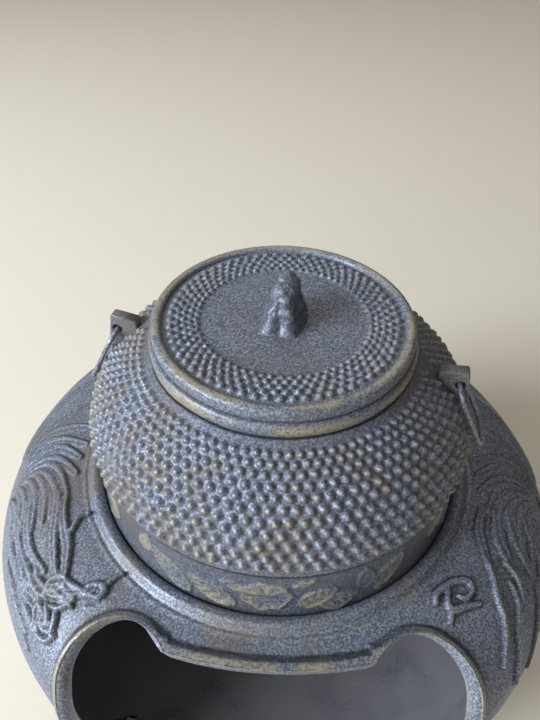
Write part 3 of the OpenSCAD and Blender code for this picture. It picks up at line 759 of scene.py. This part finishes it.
def on_shoulder(place):
    """A place (degrees from the window, mm down the shoulder) on the shoulder laid out flat."""
    turn, down = math.radians(place[0]), place[1]
    return np.array([(COLLAR_R + down) * math.sin(turn), (COLLAR_R + down) * math.cos(turn)])


def smooth_line(places, steps=7):
    """A smooth line through places: a Catmull-Rom curve with its ends repeated."""
    p = np.array([on_shoulder(place) for place in places])
    p = np.concatenate([p[:1] * 2 - p[1:2], p, p[-1:] * 2 - p[-2:-1]])
    line = []
    for a, b, c, d in zip(p[:-3], p[1:-2], p[2:-1], p[3:]):
        for t in np.linspace(0, 1, steps, endpoint=False):
            line.append(0.5 * (2 * b + (c - a) * t + (2 * a - 5 * b + 4 * c - d) * t ** 2
                               + (3 * b - a - 3 * c + d) * t ** 3))
    return np.array(line + [p[-2]])


def near_line(points, line):
    """For each point: distance to the line, share of the way along it, and its side."""
    best = np.full(len(points), 1e9)
    share = np.zeros(len(points))
    side = np.ones(len(points))
    for k, (a, b) in enumerate(zip(line[:-1], line[1:])):
        run = b - a
        t = np.clip(((points - a) @ run) / (run @ run), 0.0, 1.0)
        off = points - a - t[:, None] * run
        d = np.hypot(off[:, 0], off[:, 1])
        closer = d < best
        best[closer] = d[closer]
        share[closer] = (k + t[closer]) / (len(line) - 1)
        side[closer] = np.sign(run[0] * off[closer, 1] - run[1] * off[closer, 0])
    return best, share, side


def carve(lift, flat, places, widths, high, feather=0.0, scallop=0.0):
    """Raises lift (mm) along one stroke. feather is how much lower its soft side stays."""
    line = smooth_line(places)
    reach = max(widths) * 1.4 + 1.0
    low, top = line.min(0) - reach, line.max(0) + reach
    close = np.flatnonzero(((flat > low) & (flat < top)).all(1))
    if not len(close):
        return
    d, share, side = near_line(flat[close], line)
    half = np.interp(share, [0.0, 0.5, 1.0], widths)
    half = half * (1.0 + scallop * np.abs(np.sin(share * len(line) * 0.9)))
    u = d / half
    body = np.clip(1.0 - u ** 5, 0.0, 1.0) ** 0.6
    slope = 1.0 - feather * (0.5 - 0.5 * side * np.clip(u, 0, 1))
    quill = 0.3 * np.exp(-(d / 0.6) ** 2) * (feather > 0)
    rise = high * body * (slope - quill) * smooth_step(share + 0.12, 0.0, 0.2)
    lift[close] = np.maximum(lift[close], rise)


def ornament(turn_degrees, down):
    """Height (mm) of the birds over the shoulder; angles left of the window are negative."""
    lift = np.zeros(turn_degrees.size)
    for hand, ridges in ((-1, LEFT_RIDGES), (1, RIGHT_RIDGES)):
        turn = np.radians(turn_degrees.ravel() * hand)
        rho = COLLAR_R + down.ravel()
        flat = np.stack([rho * np.sin(turn), rho * np.cos(turn)], 1)
        flat[turn < 0] = 1e6
        for k, places in enumerate(FAN):
            carve(lift, flat, places, FEATHER_W, FEATHER_H + 0.12 * (k % 3), feather=0.75)
        for ridge in ridges:
            places = [p for p in ridge if isinstance(p, tuple)]
            start, middle, end, high = ridge[len(places):]
            carve(lift, flat, places, (start, middle, end), high,
                  feather=0.45 if middle > 2.5 else 0.0, scallop=0.2 if middle > 2.3 else 0.05)
    return lift.reshape(turn_degrees.shape)


print(len(FAN) * 2 + len(LEFT_RIDGES) + len(RIGHT_RIDGES), "strokes for the two birds")

# %% [markdown]
# ## The fire window
#
# The window is cut straight back along the line in which a guest looks into the fire. On a sheet
# held across that line its outline is simple: two round lobes above, a gently sagging brow
# between them, straight sides and a round-cornered sill. Distances to the outline give
# both the cut itself and the raised lip that the founder left round it. Along the brow the lip
# is wider and hangs a little into the hole.

# %% Fire window
SIGHT = math.radians(30)
BROW_SET = 22.0
BROW_SAG = 2.2
BROW_HANG = 1.6
LOBE_X = 65.3
LOBE_R = 29.5
LOBE_RISE = 8.0
CUSP = 0.68
FRONT_SHARE = 0.72
SILL_Z = 72.0
SILL_R = 30.0
LIP_W = 3.6
BROW_WIDER = 2.2
LIP_H = 2.4
ROLL_ROOM = 5.0
ROLL_STEPS = ((0.9, 0.5, 0.4), (1.9, 1.7, 0.15), (3.0, 3.6, 0.0))
SHEET_MIDDLE = 35.0


def sheet_v(y, z):
    """Height of a place on the sheet that is held across the line of sight."""
    return y * math.sin(SIGHT) + z * math.cos(SIGHT)


bowl_r_at_sill = BASE_R + float(quarter(BELLY_Z - SILL_Z, 0, BOWL_H, BELLY_R - BASE_R,
                                          BELLY_POWER))
brow_v = sheet_v(-(MOUTH_R + BROW_SET), SHOULDER_Z)
lobe_v = brow_v + LOBE_RISE - LOBE_R
sill_v = sheet_v(-bowl_r_at_sill, SILL_Z)
cusp_x = LOBE_X - LOBE_R * CUSP
brow_arc = (cusp_x ** 2 + BROW_SAG ** 2) / (2 * BROW_SAG)
window_half = LOBE_X + LOBE_R


def window_distance(x, v):
    """Distance (mm) on the sheet to the window's outline, negative inside the window."""
    x = np.abs(x)
    lobe = np.hypot(x - LOBE_X, v - lobe_v) - LOBE_R
    corner = np.hypot(x - (window_half - SILL_R), v - sill_v - SILL_R) - SILL_R

    def slab(half, low, high):
        a, b = x - half, np.maximum(low - v, v - high)
        return np.minimum(np.maximum(a, b), 0) + np.hypot(np.maximum(a, 0), np.maximum(b, 0))

    brow = brow_v - BROW_HANG + brow_arc - np.sqrt(np.maximum(brow_arc ** 2 - x ** 2, 1.0))
    middle = np.maximum.reduce([v - brow, x - (window_half - SILL_R), sill_v - v])
    sides = slab(window_half, sill_v + SILL_R, lobe_v)
    return np.minimum.reduce([lobe, corner, sides, middle])


def cut_share(grid, smaller=0.0):
    """Below zero where a point (mm) lies in the window's cut, through the front wall only."""
    forward = -grid[..., 1] * math.cos(SIGHT) + grid[..., 2] * math.sin(SIGHT)
    inside = window_distance(grid[..., 0], sheet_v(grid[..., 1], grid[..., 2]))
    return np.maximum(inside + smaller, BELLY_R * FRONT_SHARE - forward)


def away_from_window(grid, normals):
    """Step along the wall that leads straight out of the window, as long as it is steep there."""
    x, v = grid[..., 0], sheet_v(grid[..., 1], grid[..., 2])
    near = 0.5
    gx = (window_distance(x + near, v) - window_distance(x - near, v)) / (2 * near)
    gv = (window_distance(x, v + near) - window_distance(x, v - near)) / (2 * near)
    pull = np.stack([gx, gv * math.sin(SIGHT), gv * math.cos(SIGHT)], -1)
    step = pull - (pull * normals).sum(-1, keepdims=True) * normals
    return step, np.maximum(np.linalg.norm(step, axis=-1), 0.2)


def brow_share(places):
    """One along the brow, between the two lobes, and nought elsewhere round the window."""
    between = smooth_step(cusp_x + 1.0 - np.abs(places[..., 0]), -3.0, 3.0)
    return between * (places[..., 2] > BELLY_Z)


def lip_height(grid, normals):
    """Height (mm) of the raised lip, from the distance to the cut along the wall."""
    width = LIP_W + BROW_WIDER * brow_share(grid)
    d = np.maximum(cut_share(grid), 0) / away_from_window(grid, normals)[1]
    crest = np.clip(1.0 - (np.maximum(d - 0.7, 0) / (width - 0.7)) ** 3.0, 0.0, 1.0) ** 0.7
    return LIP_H * crest, 1.0 - smooth_step(d, width * 0.45, width * 0.95)


print("window is", round(2 * window_half, 1), "mm wide")

# %% [markdown]
# ## Cutting a hole in a turned grid
#
# A boolean cut would work, but it leaves long thin faces that shade badly. Instead each face that
# the outline crosses is clipped to it, the faces inside are dropped, and the outer and
# inner edges of the hole are sewn together, which gives the wall its thickness in the window.
# Sewing walks round both edges at once and always takes the shorter step.

# %% Clip and sew
def clip_faces(points, faces, share):
    """Faces clipped to share > 0, with the points (list of arrays) that the clipping adds."""
    added, seen = [], {}

    def crossing(a, b):
        key = (min(a, b), max(a, b))
        if key not in seen:
            t = share[a] / (share[a] - share[b])
            seen[key] = len(points) + len(added)
            added.append(points[a] + (points[b] - points[a]) * t)
        return seen[key]

    faces = np.asarray(faces)
    inside = share[faces] > 0
    kept = faces[inside.all(1)].tolist()
    for face in faces[inside.any(1) & ~inside.all(1)].tolist():
        outline = []
        for a, b in zip(face, face[1:] + face[:1]):
            if share[a] > 0:
                outline.append(a)
            if (share[a] > 0) != (share[b] > 0):
                outline.append(crossing(a, b))
        if len(outline) > 2:
            kept.append(outline)
    return kept, added, list(seen.values())


def round_window(points, edge):
    """The edge's points in order round the middle of the window, with their angles."""
    p = points[edge]
    turn = np.arctan2(sheet_v(p[:, 1], p[:, 2]) - SHEET_MIDDLE, p[:, 0])
    order = np.argsort(turn)
    return [edge[k] for k in order], turn[order]


def sew(outer, outer_turn, inner, inner_turn):
    """Triangles between two closed edges, walking round both at once."""
    faces, i, j = [], 0, 0
    count_a, count_b = len(outer), len(inner)
    while i < count_a or j < count_b:
        next_a = outer_turn[i + 1] if i + 1 < count_a else outer_turn[0] + 2 * math.pi
        next_b = inner_turn[j + 1] if j + 1 < count_b else inner_turn[0] + 2 * math.pi
        a, b = outer[i % count_a], inner[j % count_b]
        if j >= count_b or (i < count_a and next_a <= next_b):
            faces.append([a, outer[(i + 1) % count_a], b])
            i += 1
        else:
            faces.append([a, inner[(j + 1) % count_b], b])
            j += 1
    return faces


print("cutting tools are ready")

# %% [markdown]
# ## The brazier's outer profile
#
# The outer skin runs from the seat ledge up the mouth wall, over the collar, down the shoulder and
# round the belly to the flat underside. Its columns are closest on the sides, where the birds
# are, and widest behind, so that the fine mesh is only where fine shape is.

# %% Brazier profile
half_turn = np.concatenate([np.arange(0, 40, 0.4), np.arange(40, 120, 0.31),
                            np.arange(120, 130, 0.7), np.linspace(130, 180, 45)])
half_turn = half_turn[:len(half_turn) // 2 * 2]
half_turn[-1] = 180.0
turns = np.concatenate([half_turn, -half_turn[-2:0:-1]])
brazier_angles = np.radians(turns)
crest_w = COLLAR_W * 0.5
up_side = np.radians(np.linspace(180, 90, 7))
down_side = np.linspace(0.1, 1.0, 10)
collar = np.concatenate([
    np.stack([MOUTH_R + crest_w + crest_w * np.cos(up_side),
              SHOULDER_Z + COLLAR_H * np.sin(up_side)], 1),
    np.stack([MOUTH_R + crest_w + (COLLAR_W - crest_w) * down_side,
              SHOULDER_Z + COLLAR_H * (0.5 + 0.5 * np.cos(math.pi * down_side))], 1)])
shoulder = quarter_curve(SHOULDER_R, BELLY_R, SHOULDER_RISE, BELLY_POWER, 400)
shoulder[:, 1] += BELLY_Z
shoulder = shoulder[shoulder[:, 0] > COLLAR_R]
bowl = quarter_curve(BASE_R, BELLY_R, BOWL_H, BELLY_POWER, 400)[::-1]
bowl[:, 1] = BELLY_Z - bowl[:, 1]
wall_curve = np.concatenate([shoulder, bowl[1:]])
shoulder_run = length_of(shoulder)
wall_run = np.concatenate([np.arange(0.7, 72, 0.76), np.arange(72, shoulder_run + 55, 1.5),
                           np.linspace(shoulder_run + 56, length_of(wall_curve), 14)])
wall_rows = along(wall_curve, wall_run)
ledge = np.array([[LEDGE_R, SEAT_Z - LEDGE_T], [LEDGE_R, SEAT_Z - 0.4], [LEDGE_R + 0.4, SEAT_Z],
                  [MOUTH_R - 0.5, SEAT_Z], [MOUTH_R, SEAT_Z + 0.5]])
outer_rows = np.concatenate([ledge, collar, wall_rows])
print("outer skin has", len(outer_rows), "rows and", len(turns), "columns")

# %% [markdown]
# ## Lip, birds and ridge on the skin
#
# The lip, the birds and a fine ridge at the collar's foot are added up as one height, and the
# skin is moved along its normals by it. The birds fade out near the lip. A weak unevenness keeps
# the wall from looking machined.

# %% Lip, birds and ridge
RIDGE_H = 0.55
RIDGE_AT = 1.1
RIDGE_W = 1.2
BIRDS_REACH = 92
SAND_H = 0.25

skin = turned(outer_rows, brazier_angles) / MM
normals = turned_normals(outer_rows, brazier_angles)
lip, lip_rub = lip_height(skin, normals)
window_steepness = away_from_window(skin, normals)[1]
wall_at = len(ledge) + len(collar)
lip[:wall_at] = 0
lip_rub[:wall_at] = 0
down = np.zeros(lip.shape)
down[wall_at:] = wall_run[:, None]
birds = np.zeros(lip.shape)
birds[wall_at:] = ornament(np.repeat(turns[None, :], len(wall_run), 0), down[wall_at:])
open_field = smooth_step(cut_share(skin), 4.0, 9.0) * (down > 0) * (down < BIRDS_REACH)
birds *= open_field
sand = uneven(skin * MM, size=0.022, seed=4) * SAND_H
ridge = np.exp(-((down - RIDGE_AT) / RIDGE_W) ** 2) * (down > 0)
raised = np.maximum(birds, 0) + lip + RIDGE_H * ridge
skin = skin + normals * (raised + sand * (down > 0))[..., None]
share = cut_share(skin - normals * raised[..., None])
print("relief stands up to", round(float(raised.max()), 1), "mm proud")

# %% [markdown]
# ## The inside, and the cut through both skins
#
# The inner skin is plain, so it has a quarter of the columns. Its hole is a little smaller than
# the outer one, which leaves room for the lip's edge to roll inwards.

# %% Inner skin and cut
COLUMN_STEP = 4

inner_low = quarter_curve(BASE_R, BELLY_R - WALL, BOWL_H - WALL, BELLY_POWER, 16)
inner_high = quarter_curve(SHOULDER_R, BELLY_R - WALL, SHOULDER_RISE - WALL, BELLY_POWER, 14)[::-1]
inner_rows = np.concatenate([
    [[20.0, FLOOR_GAP + WALL], [44.0, FLOOR_GAP + WALL]],
    np.stack([inner_low[:, 0], BELLY_Z - inner_low[:, 1]], 1),
    np.stack([inner_high[1:, 0], BELLY_Z + inner_high[1:, 1]], 1),
    [[100.3, SHOULDER_Z - WALL - 3.0], [MOUTH_R, SEAT_Z - LEDGE_T]]])
inner_angles = brazier_angles[::COLUMN_STEP]
inner_skin = turned(inner_rows, inner_angles) / MM
inner_normals = turned_normals(inner_rows, inner_angles)
inner_share = cut_share(inner_skin, ROLL_ROOM * away_from_window(inner_skin, inner_normals)[1])

rows, columns = lip.shape
coarse = len(inner_angles)
inner_start = rows * columns
points = np.concatenate([skin.reshape(-1, 3), inner_skin.reshape(-1, 3)])
all_share = np.concatenate([share.ravel(), inner_share.ravel()])
outer_faces, outer_new, outer_edge = clip_faces(points, grid_quads(rows, columns), all_share)
points = np.concatenate([points, np.array(outer_new)])
all_share = np.concatenate([all_share, np.zeros(len(outer_new))])
inner_faces, inner_new, inner_edge = clip_faces(
    points, grid_quads(len(inner_rows), coarse, inner_start), all_share)
points = np.concatenate([points, np.array(inner_new)])
print("faces kept outside and inside:", len(outer_faces), len(inner_faces))

# %% [markdown]
# ## Rolled edge and closing faces
#
# Three rings of points roll the lip's edge into the hole before the sewing. Each ring is a step
# across, a step in, and how rubbed the metal is there. Below the ledge one coarse face of the
# inner skin meets four fine ones of the outer skin, so it takes their points into its own edge.

# %% Roll, sew and close
crest_ring, crest_turn = round_window(points, outer_edge)
crest_points = points[crest_ring]
radial = crest_points * (1.0, 1.0, 1.4) - (0.0, 0.0, BELLY_Z * 1.4)
outwards = radial / np.linalg.norm(radial, axis=1, keepdims=True)
leading, steep = away_from_window(crest_points, outwards)
leading /= steep[:, None]
in_brow = brow_share(crest_points)[:, None]
seam, last_ring = [], crest_ring
wear_added = {k: 0.75 for k in outer_edge}
for across_roll, depth, rub in ROLL_STEPS:
    ring = list(range(len(points), len(points) + len(crest_ring)))
    wear_added.update({k: rub for k in ring})
    across_roll = across_roll * (1.0 + 0.2 * in_brow)
    depth = depth * (1.0 - 0.45 * in_brow)
    points = np.concatenate([points, crest_points - leading * across_roll - outwards * depth])
    seam += [[last_ring[k], last_ring[(k + 1) % len(ring)], ring[(k + 1) % len(ring)], ring[k]]
             for k in range(len(ring))]
    last_ring = ring
seam += sew(last_ring, crest_turn, *round_window(points, inner_edge))
last_inner = inner_start + (len(inner_rows) - 1) * coarse
collar_join = []
for j in range(coarse):
    first = COLUMN_STEP * j
    fine = [(first + k) % columns for k in range(min(COLUMN_STEP, columns - first) + 1)]
    collar_join.append([last_inner + j, *fine, last_inner + (j + 1) % coarse][::-1])
base_faces = [[(rows - 1) * columns + j for j in range(columns)]]
base_faces += [[inner_start + j for j in range(coarse)]]
brazier_faces = outer_faces + inner_faces + [f[::-1] for f in seam] + collar_join + base_faces
brazier = make_mesh("brazier_casting", points * MM, brazier_faces)

# %% [markdown]
# ## Wear, painted highlights, painted shade and ash on the brazier
#
# The lip, the tops of the birds and the rolled edge of the window are rubbed. The collar and the
# fine ridge at its foot are rubbed and also painted lighter as a highlight, and the sharp edges of
# the feathers are painted lighter as a highlight. Painted shade, a near black, goes on the steep
# low sides of the feathers, where the surface bends inwards and along the lip's foot. Ash lies on
# the inner skin only. How sharply the birds' height bends is found as on a map: by taking its slope
# twice.

# %% Brazier wear, painted highlight, painted shade and ash
bend = sum(np.gradient(np.gradient(birds, axis=k), axis=k) for k in (0, 1))
# Painted highlight: the sharp convex edges of the feathers get the rubbed colour, standing for
# light that catches them.
edge_highlight = smooth_step(-bend, 0.06, 0.4) * 0.36
wear_and_edge_highlight = np.maximum.reduce([lip_rub * 0.62, smooth_step(birds, 1.2, 2.4) * 0.3, edge_highlight])
# The collar and the ridge at its foot are partly rubbed and partly painted lighter as a highlight.
collar_wear_and_highlight = np.zeros(wear_and_edge_highlight.shape)
collar_wear_and_highlight[len(ledge):wall_at] = 0.3
collar_wear_and_highlight += ridge * 0.5
wear_and_highlight_values = np.zeros(len(points))
wear_and_highlight_values[:wear_and_edge_highlight.size] = np.maximum(wear_and_edge_highlight, collar_wear_and_highlight).ravel()
wear_and_highlight_values[list(wear_added)] = list(wear_added.values())
mark(brazier, "wear_and_highlight", wear_and_highlight_values)
# Painted shade: the steep low sides of the feathers, the inward bends of the birds and the lip's
# foot are painted dark where shade falls.
bird_slope = np.hypot(np.gradient(birds, axis=0), np.gradient(birds, axis=1))
low_side = smooth_step(bird_slope, 0.25, 0.9) * (1.0 - smooth_step(birds, 0.4, 1.6))
foot_at = LIP_W + BROW_WIDER * brow_share(skin) + 0.5
lip_foot = np.exp(-((cut_share(skin) / window_steepness - foot_at) / 0.6) ** 2) * (down > 0)
valley = smooth_step(bend, 0.08, 0.4) * 0.5
painted_shade = np.maximum.reduce([low_side, valley, lip_foot * 0.8])
mark(brazier, "painted_shade", painted_shade)
ash = np.zeros(len(points))
ash[inner_start:inner_start + len(inner_rows) * coarse] = 1.0
ash[inner_edge] = 0.8
mark(brazier, "ash", ash)
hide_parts("brazier")
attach(brazier, "brazier_body")
print("brazier is rubbed on", round(100 * float((wear_and_highlight_values > 0.3).mean())), "% of its points")

# %% [markdown]
# ## Cast iron
#
# Old cast iron is never one colour. A sand mould leaves a fine grain, the lacquer that is burnt on
# turns blue-black, rust browns it in large patches, hands rub whatever stands proud to a dull
# sandy gold and ash dusts the fire's side of the wall. The same sandy gold is painted on some edges
# as a highlight, and a near black is painted into creases and hollows as shade. The finish below
# mixes those layers with noise of several sizes, and it reads the numbers for rubbing and painted
# highlight, for painted shade and for ash that the castings carry for each point.

# %% Iron finish
LACQUER = (0.092, 0.110, 0.155, 1.0)
GRAIN = (0.330, 0.365, 0.450, 1.0)
RUST = (0.150, 0.118, 0.090, 1.0)
# Sandy gold of rubbed iron, also used for painted highlights.
RUBBED_AND_HIGHLIGHT = (0.400, 0.370, 0.275, 1.0)
# Near black for painted shade in creases and hollows.
PAINTED_SHADE = (0.012, 0.012, 0.015, 1.0)
ASH = (0.300, 0.290, 0.315, 1.0)


class Nodes:
    """Short calls for adding and joining shader nodes."""

    def __init__(self, tree):
        self.tree = tree

    def add(self, kind, inputs=(), **settings):
        node = self.tree.nodes.new(kind)
        for key, value in settings.items():
            setattr(node, key, value)
        for socket, value in dict(inputs).items():
            self.feed(node, socket, value)
        return node

    def feed(self, node, socket, value):
        if isinstance(value, bpy.types.NodeSocket):
            self.tree.links.new(value, node.inputs[socket])
        else:
            node.inputs[socket].default_value = value

    def noise(self, scale, detail=4.0, rough=0.55, warp=0.0):
        place = self.tree.nodes.get("Texture Coordinate") or self.add("ShaderNodeTexCoord")
        node = self.add("ShaderNodeTexNoise", {"Vector": place.outputs["Object"], "Scale": scale,
                                               "Detail": detail, "Roughness": rough,
                                               "Distortion": warp})
        return node.outputs["Fac"]

    def ramp(self, value, low, high):
        node = self.add("ShaderNodeMapRange", {"Value": value, "From Min": low, "From Max": high},
                        interpolation_type="SMOOTHSTEP")
        return node.outputs["Result"]

    def times(self, a, b):
        node = self.add("ShaderNodeMath", {0: a, 1: b}, operation="MULTIPLY")
        return node.outputs["Value"]

    def mix(self, share, a, b):
        node = self.add("ShaderNodeMix", {"Factor": share, "A": a, "B": b}, data_type="RGBA")
        return node.outputs["Result"]


def iron(name, brown=0.5, grain=1.0, rough=(0.42, 0.66)):
    """Cast iron: lacquer, sandy grain, rust patches, rubbing and painted highlight, painted shade,
    ash.
    """
    material = bpy.data.materials.new(name)
    material.use_nodes = True
    n = Nodes(material.node_tree)
    shader = n.tree.nodes["Principled BSDF"]
    wear_and_highlight = n.add("ShaderNodeAttribute", attribute_name="wear_and_highlight").outputs["Fac"]
    sand = n.noise(950.0, 4.0, 0.62)
    patch = n.noise(38.0, 5.0, 0.6, 0.4)
    cloud = n.noise(9.0, 3.0, 0.5)
    speck = n.times(n.ramp(sand, 0.38, 0.72), grain)
    base = n.mix(speck, LACQUER, GRAIN)
    rusty = n.times(n.ramp(n.times(patch, cloud), 0.20, 0.34), brown)
    base = n.mix(rusty, base, RUST)
    # Rubbed gold for worn places, also laid on as painted highlight on the brazier's edges and
    # collar.
    shine = n.ramp(n.times(wear_and_highlight, n.ramp(patch, 0.25, 0.62)), 0.12, 0.85)
    base = n.mix(n.times(shine, n.ramp(sand, 0.28, 0.56)), base, RUBBED_AND_HIGHLIGHT)
    # Painted shade: a near black laid where the castings mark creases and hollows.
    painted_shade = n.add("ShaderNodeAttribute", attribute_name="painted_shade").outputs["Fac"]
    base = n.mix(n.times(painted_shade, 0.9), base, PAINTED_SHADE)
    ash = n.add("ShaderNodeAttribute", attribute_name="ash").outputs["Fac"]
    base = n.mix(n.times(ash, n.ramp(patch, 0.2, 0.5)), base, ASH)
    n.feed(shader, "Base Color", base)
    n.feed(shader, "Metallic", 0.35)
    gloss = n.add("ShaderNodeMapRange", {"Value": patch, "From Min": 0.3, "From Max": 0.7,
                                         "To Min": rough[0], "To Max": rough[1]})
    dull = n.add("ShaderNodeMath", {0: gloss.outputs["Result"], 1: n.times(wear_and_highlight, 0.16)},
                 operation="SUBTRACT")
    n.feed(shader, "Roughness", dull.outputs["Value"])
    coarse = n.add("ShaderNodeBump", {"Height": n.noise(420.0, 4.0, 0.6), "Distance": 0.0004,
                                      "Strength": 0.25})
    fine = n.add("ShaderNodeBump", {"Height": sand, "Distance": 0.0003, "Strength": 0.45,
                                    "Normal": coarse.outputs["Normal"]})
    n.feed(shader, "Normal", fine.outputs["Normal"])
    return material


def finish(piece, material):
    """Gives a piece one material in place of whatever it had."""
    piece.data.materials.clear()
    piece.data.materials.append(material)


kettle_iron = iron("kettle_iron")
lid_iron = iron("lid_iron", brown=0.25, grain=1.2)
knob_iron = iron("knob_iron", brown=0.3, grain=0.6, rough=(0.38, 0.55))
brazier_iron = iron("brazier_iron", brown=0.5, grain=1.2)
ring_iron = iron("ring_iron", brown=0.15, grain=1.8, rough=(0.3, 0.42))
finish(kettle, kettle_iron)
finish(lid, lid_iron)
finish(brazier, brazier_iron)
finish(crag_piece, knob_iron)
for plate in lugs:
    finish(plate, kettle_iron)
for node_name in ("ring_left", "ring_right", "knob_washer"):
    finish(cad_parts[node_name], ring_iron)
for node_name in ("foot_front", "foot_left", "foot_right"):
    finish(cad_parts[node_name], brazier_iron)
print("finishes:", [m.name for m in bpy.data.materials if "iron" in m.name])

# %% [markdown]
# ## Floor and light
#
# The kettle stands on a plain pale floor. One large soft lamp stands to the left, like a paper
# window, a weak one in front of it reaches into the fire window, and a very weak one behind gives
# the lid its sheen. The sky grows brighter towards the window side, so that the flanks which face
# away from it stay dark. The floor keeps the object's shadow.

# %% Floor and light
FLOOR_COLOUR = (0.88, 0.82, 0.70, 1.0)
LAMP_AIM = (0.0, 0.0, 0.2)

floor_material = bpy.data.materials.new("pale_floor")
floor_material.use_nodes = True
floor_shader = floor_material.node_tree.nodes["Principled BSDF"]
floor_shader.inputs["Base Color"].default_value = FLOOR_COLOUR
floor_shader.inputs["Roughness"].default_value = 0.9
floor = make_mesh("floor", np.array([[-4, -3, 0], [4, -3, 0], [4, 7, 0], [-4, 7, 0]], float),
                  [[0, 1, 2, 3]], smooth=False)
finish(floor, floor_material)


def soft_lamp(name, place, aim, width, height, watts, colour):
    """A rectangular lamp at a place, turned towards what it lights."""
    data = bpy.data.lights.new(name, "AREA")
    data.shape = "RECTANGLE"
    data.size = width
    data.size_y = height
    data.energy = watts
    data.color = colour
    lamp = bpy.data.objects.new(name, data)
    lamp.location = place
    lamp.rotation_euler = (Vector(aim) - Vector(place)).to_track_quat("-Z", "Y").to_euler()
    bpy.context.scene.collection.objects.link(lamp)


soft_lamp("window_lamp", (-2.0, -0.95, 1.22), LAMP_AIM, 1.3, 1.0, 84.0, (0.84, 0.92, 1.0))
soft_lamp("front_lamp", (-1.2, -2.2, 0.95), LAMP_AIM, 1.1, 0.8, 12.0, (1.0, 0.97, 0.92))
soft_lamp("room_lamp", (-0.3, 1.3, 2.2), (0.0, 0.0, 0.15), 1.6, 1.2, 5.0, (1.0, 0.97, 0.93))
bpy.context.scene.view_settings.view_transform = "Standard"

# %% [markdown]
# ## Sky and far wall
#
# A world can look one way to the lens and another way to the surfaces that it lights. Here the lens
# sees a plain pale wall, and polished metal sees a good part of it too, while the shading comes
# from a sky whose strength follows a direction: the dot product of each ray with the way to the
# window is stretched to the range from nearly dark to bright.

# %% Sky and wall
TO_WINDOW = (-0.72, -0.25, 0.62)
WALL_COLOUR = (0.52, 0.48, 0.40, 1.0)
WALL_IN_METAL = 0.3

world = bpy.data.worlds.new("room")
world.use_nodes = True
bpy.context.scene.world = world
room = Nodes(world.node_tree)
sky = room.tree.nodes["Background"]
ray_way = room.add("ShaderNodeTexCoord").outputs["Generated"]
windowward = room.add("ShaderNodeVectorMath", {0: ray_way, 1: TO_WINDOW}, operation="DOT_PRODUCT")
sky_level = room.add("ShaderNodeMapRange", {"Value": windowward.outputs["Value"], "From Min": -0.5,
                                            "From Max": 0.9, "To Min": 0.01, "To Max": 0.44})
room.feed(sky, "Color", (1.0, 0.95, 0.86, 1.0))
room.feed(sky, "Strength", sky_level.outputs["Result"])
wall = room.add("ShaderNodeBackground", {"Color": WALL_COLOUR})
rays = room.add("ShaderNodeLightPath").outputs
wall_share = rays["Is Camera Ray"]
for kind in ("Is Glossy Ray", "Is Transmission Ray"):
    wall_share = room.add("ShaderNodeMath", {0: rays[kind], 1: WALL_IN_METAL, 2: wall_share},
                          operation="MULTIPLY_ADD").outputs["Value"]
either = room.add("ShaderNodeMixShader", {0: wall_share, 1: sky.outputs[0], 2: wall.outputs[0]})
room.feed(room.tree.nodes["World Output"], "Surface", either.outputs[0])
print("sky and wall:", len(room.tree.nodes), "nodes")
